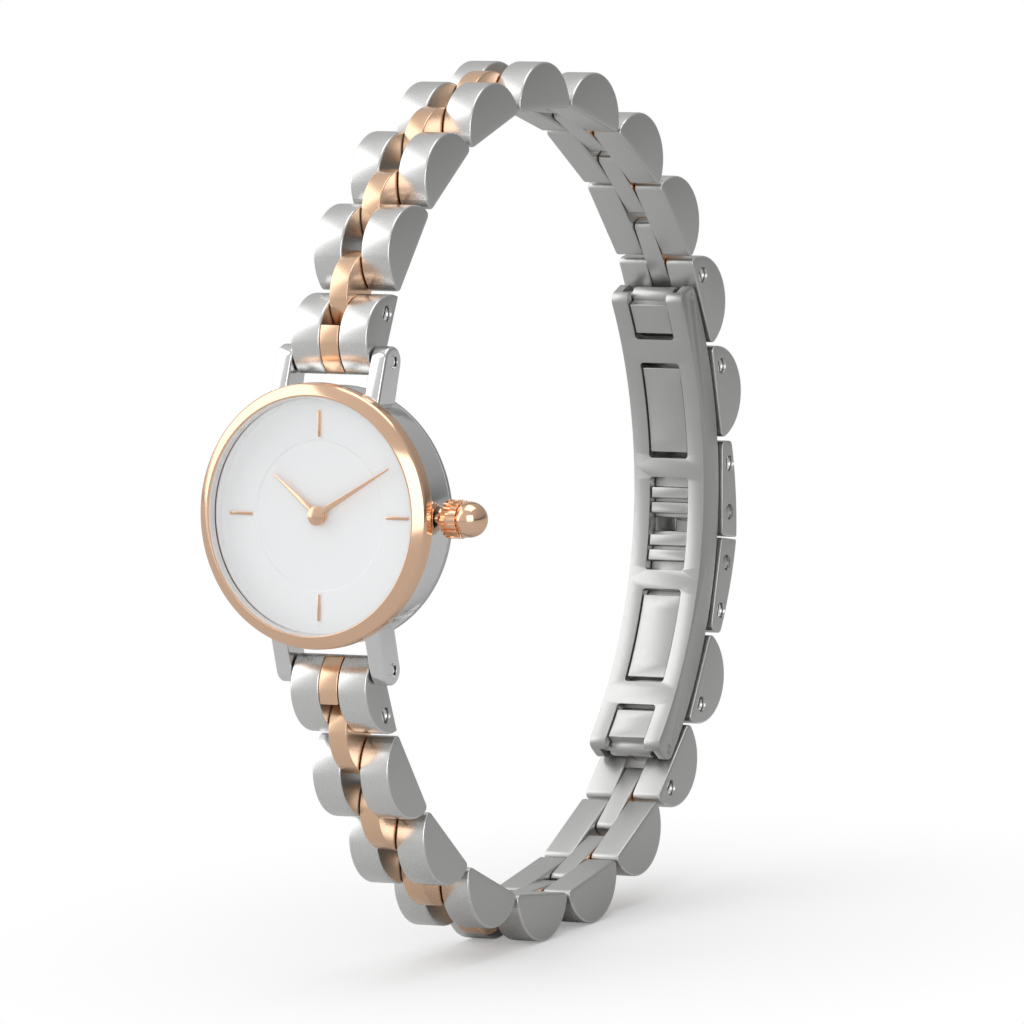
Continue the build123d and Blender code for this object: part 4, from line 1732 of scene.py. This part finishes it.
@dataclass
class Studio:
    """Pale floor, soft light and the photograph's camera.

    The camera's distance and the floor's side are in metres. The picture's centre and the
    focal length are in the photograph's pixels, and the sensor is in millimetres.
    """

    loop: Loop
    azimuth: float = 31.5
    elevation: float = 2.87
    roll: float = 0.17
    distance: float = 1.0
    focal_pixels: float = 13060.0
    picture: float = 1024.0
    sensor: float = 36.0
    centre: Point2 = (513.0, 500.5)
    clip_start: float = 0.01
    floor_size: float = 400.0
    floor_shade: float = 0.95
    floor_roughness: float = 0.9
    glow_near: float = 0.25
    glow_start: float = 0.01
    glow_rise: float = 20.0
    mirrored_shade: float = 0.1
    mirrored_share: float = 0.45
    room_level: float = 0.48
    room_lean: Point3 = (-0.14, -0.12, 0.12)
    strip_height: float = -0.05
    strip_sharpness: float = 4.0
    strip_side: float = 0.3
    strip_side_rise: float = 1.6
    strip_depth: float = 0.8
    softboxes: tuple[Softbox, ...] = (
        Softbox("left_softbox", (-0.95, -0.35, 0.55), 1.2, 5.5),
        Softbox("front_softbox", (0.5, -0.8, 0.3), 0.7, 2.6),
        Softbox("top_softbox", (0.05, 0.0, 0.8), 0.6, 1.6),
    )

    def camera(self) -> None:
        """Place the camera where the photograph was taken from."""
        turn, rise, roll = radians(self.azimuth), radians(self.elevation), radians(self.roll)
        turned = self.loop.turned.to_3x3()
        back = turned @ Vector((sin(turn) * cos(rise), -cos(turn) * cos(rise), sin(rise)))
        level = (turned @ Vector((0, 0, 1))).cross(back).normalized()
        right = level * cos(roll) + back.cross(level) * sin(roll)
        up = back.cross(right)
        data = bpy.data.cameras.new("camera")
        data.sensor_width = self.sensor
        data.lens = self.focal_pixels / self.picture * self.sensor
        data.clip_start = self.clip_start
        half = self.picture / 2
        data.shift_x = (half - self.centre[0]) / self.picture
        data.shift_y = (self.centre[1] - half) / self.picture
        item = bpy.data.objects.new("camera", data)
        bpy.context.scene.collection.objects.link(item)
        place = Matrix((right, up, back)).transposed().to_4x4()
        place.translation = self.loop.matrix.translation + back * self.distance
        item.matrix_world = place
        bpy.context.scene.camera = item

    def lamp(self, softbox: Softbox) -> None:
        """Add a lamp that faces the watch.

        Args:
            softbox: the lamp's place, size and power.
        """
        data = bpy.data.lights.new(softbox.name, "AREA")
        data.size = softbox.size
        data.energy = softbox.power
        item = bpy.data.objects.new(softbox.name, data)
        item.location = softbox.place
        aim = self.loop.matrix.translation - Vector(softbox.place)
        item.rotation_euler = aim.to_track_quat("-Z", "Y").to_euler()
        bpy.context.scene.collection.objects.link(item)

    def floor_finish(self) -> bpy.types.Material:
        """Make the floor's finish.

        The camera sees it glow white, more so away from the watch, and it keeps the shadow.
        Metal mirrors it a little darker.

        Returns:
            The finish.
        """
        shader = Shader.of_material("pale_floor")
        shade, dim_shade = (self.floor_shade,) * 3, (self.mirrored_shade,) * 3
        base = {"Base Color": (*shade, 1.0), "Roughness": self.floor_roughness}
        plain = shader.node("ShaderNodeBsdfPrincipled", {}, base)
        dim = shader.node("ShaderNodeBsdfDiffuse", {}, {"Color": (*dim_shade, 1.0)})
        glow = shader.node(
            "ShaderNodeEmission", {}, {"Color": (1.0, 1.0, 1.0, 1.0), "Strength": 1.0}
        )
        path = shader.node("ShaderNodeLightPath", {}, {})
        place = shader.coordinates((1.0, 1.0, 1.0))
        away = shader.node("ShaderNodeVectorMath", {"operation": "LENGTH"}, {0: place})
        rise = (shader.wire(away, "Value") - self.glow_start) * self.glow_rise
        white = (self.glow_near + rise.math("MAXIMUM", 0.0)).math("MINIMUM", 1.0)
        mirrored = shader.wire(path, "Is Glossy Ray") * self.mirrored_share
        lit = shader.mixed(mirrored, plain, dim)
        return shader.finish(shader.mixed(shader.wire(path, "Is Camera Ray") * white, lit, glow))

    def floor(self) -> None:
        """Lay the pale floor."""
        maker = MeshMaker()
        half = self.floor_size / 2
        square = ((-half, -half), (half, -half), (half, half), (-half, half))
        maker.mesh.faces.new([maker.mesh.verts.new((x, y, 0)) for x, y in square])
        item = maker.finish("floor", (self.floor_finish(),))

    def world(self) -> None:
        """Light the room from the left and from above, with a dark strip on the right."""
        world = bpy.data.worlds.new("room")
        bpy.context.scene.world = world
        shader = Shader(world, "ShaderNodeOutputWorld")
        source = shader.wire(shader.node("ShaderNodeTexCoord", {}, {}), "Generated")
        split = shader.node("ShaderNodeSeparateXYZ", {}, {0: source})
        x, y, z = (shader.wire(split, axis) for axis in "XYZ")
        band = 1 - (z - self.strip_height).math("ABSOLUTE") * self.strip_sharpness
        side = x * self.strip_side_rise - self.strip_side
        strip = band.math("MAXIMUM", 0.0) * side.math("MAXIMUM", 0.0)
        lean_x, lean_y, lean_z = self.room_lean
        room = self.room_level + x * lean_x + y * lean_y + z * lean_z
        level = room * (1 - strip.math("MINIMUM", self.strip_depth))
        path = shader.node("ShaderNodeLightPath", {}, {})
        seen = shader.wire(path, "Is Camera Ray")
        strength = level * (1 - seen) + seen
        shader.finish(
            shader.node(
                "ShaderNodeBackground", {}, {"Color": (1.0, 1.0, 1.0, 1.0), "Strength": strength}
            )
        )

    def build(self) -> None:
        """Set the stage."""
        self.floor()
        self.world()
        for softbox in self.softboxes:
            self.lamp(softbox)
        self.camera()
        bpy.context.scene.view_settings.view_transform = "Standard"
        LOG.info("studio with %s lamps", len(self.softboxes))


def main() -> None:
    """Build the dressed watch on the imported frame."""
    logging.basicConfig(level=logging.INFO, format="%(message)s")
    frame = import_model()
    loop = Loop(frame["joints"])
    palette = Palette()
    bracelet = Bracelet(loop, palette)
    bracelet.build()
    WatchHead(loop, palette, bracelet.outer).build()
    breaker = EdgeBreaker(frame["nodes"])
    Clasp(palette, breaker).build()
    SmallParts(palette, breaker).build()
    Studio(loop).build()


if __name__ == "__main__":
    main()
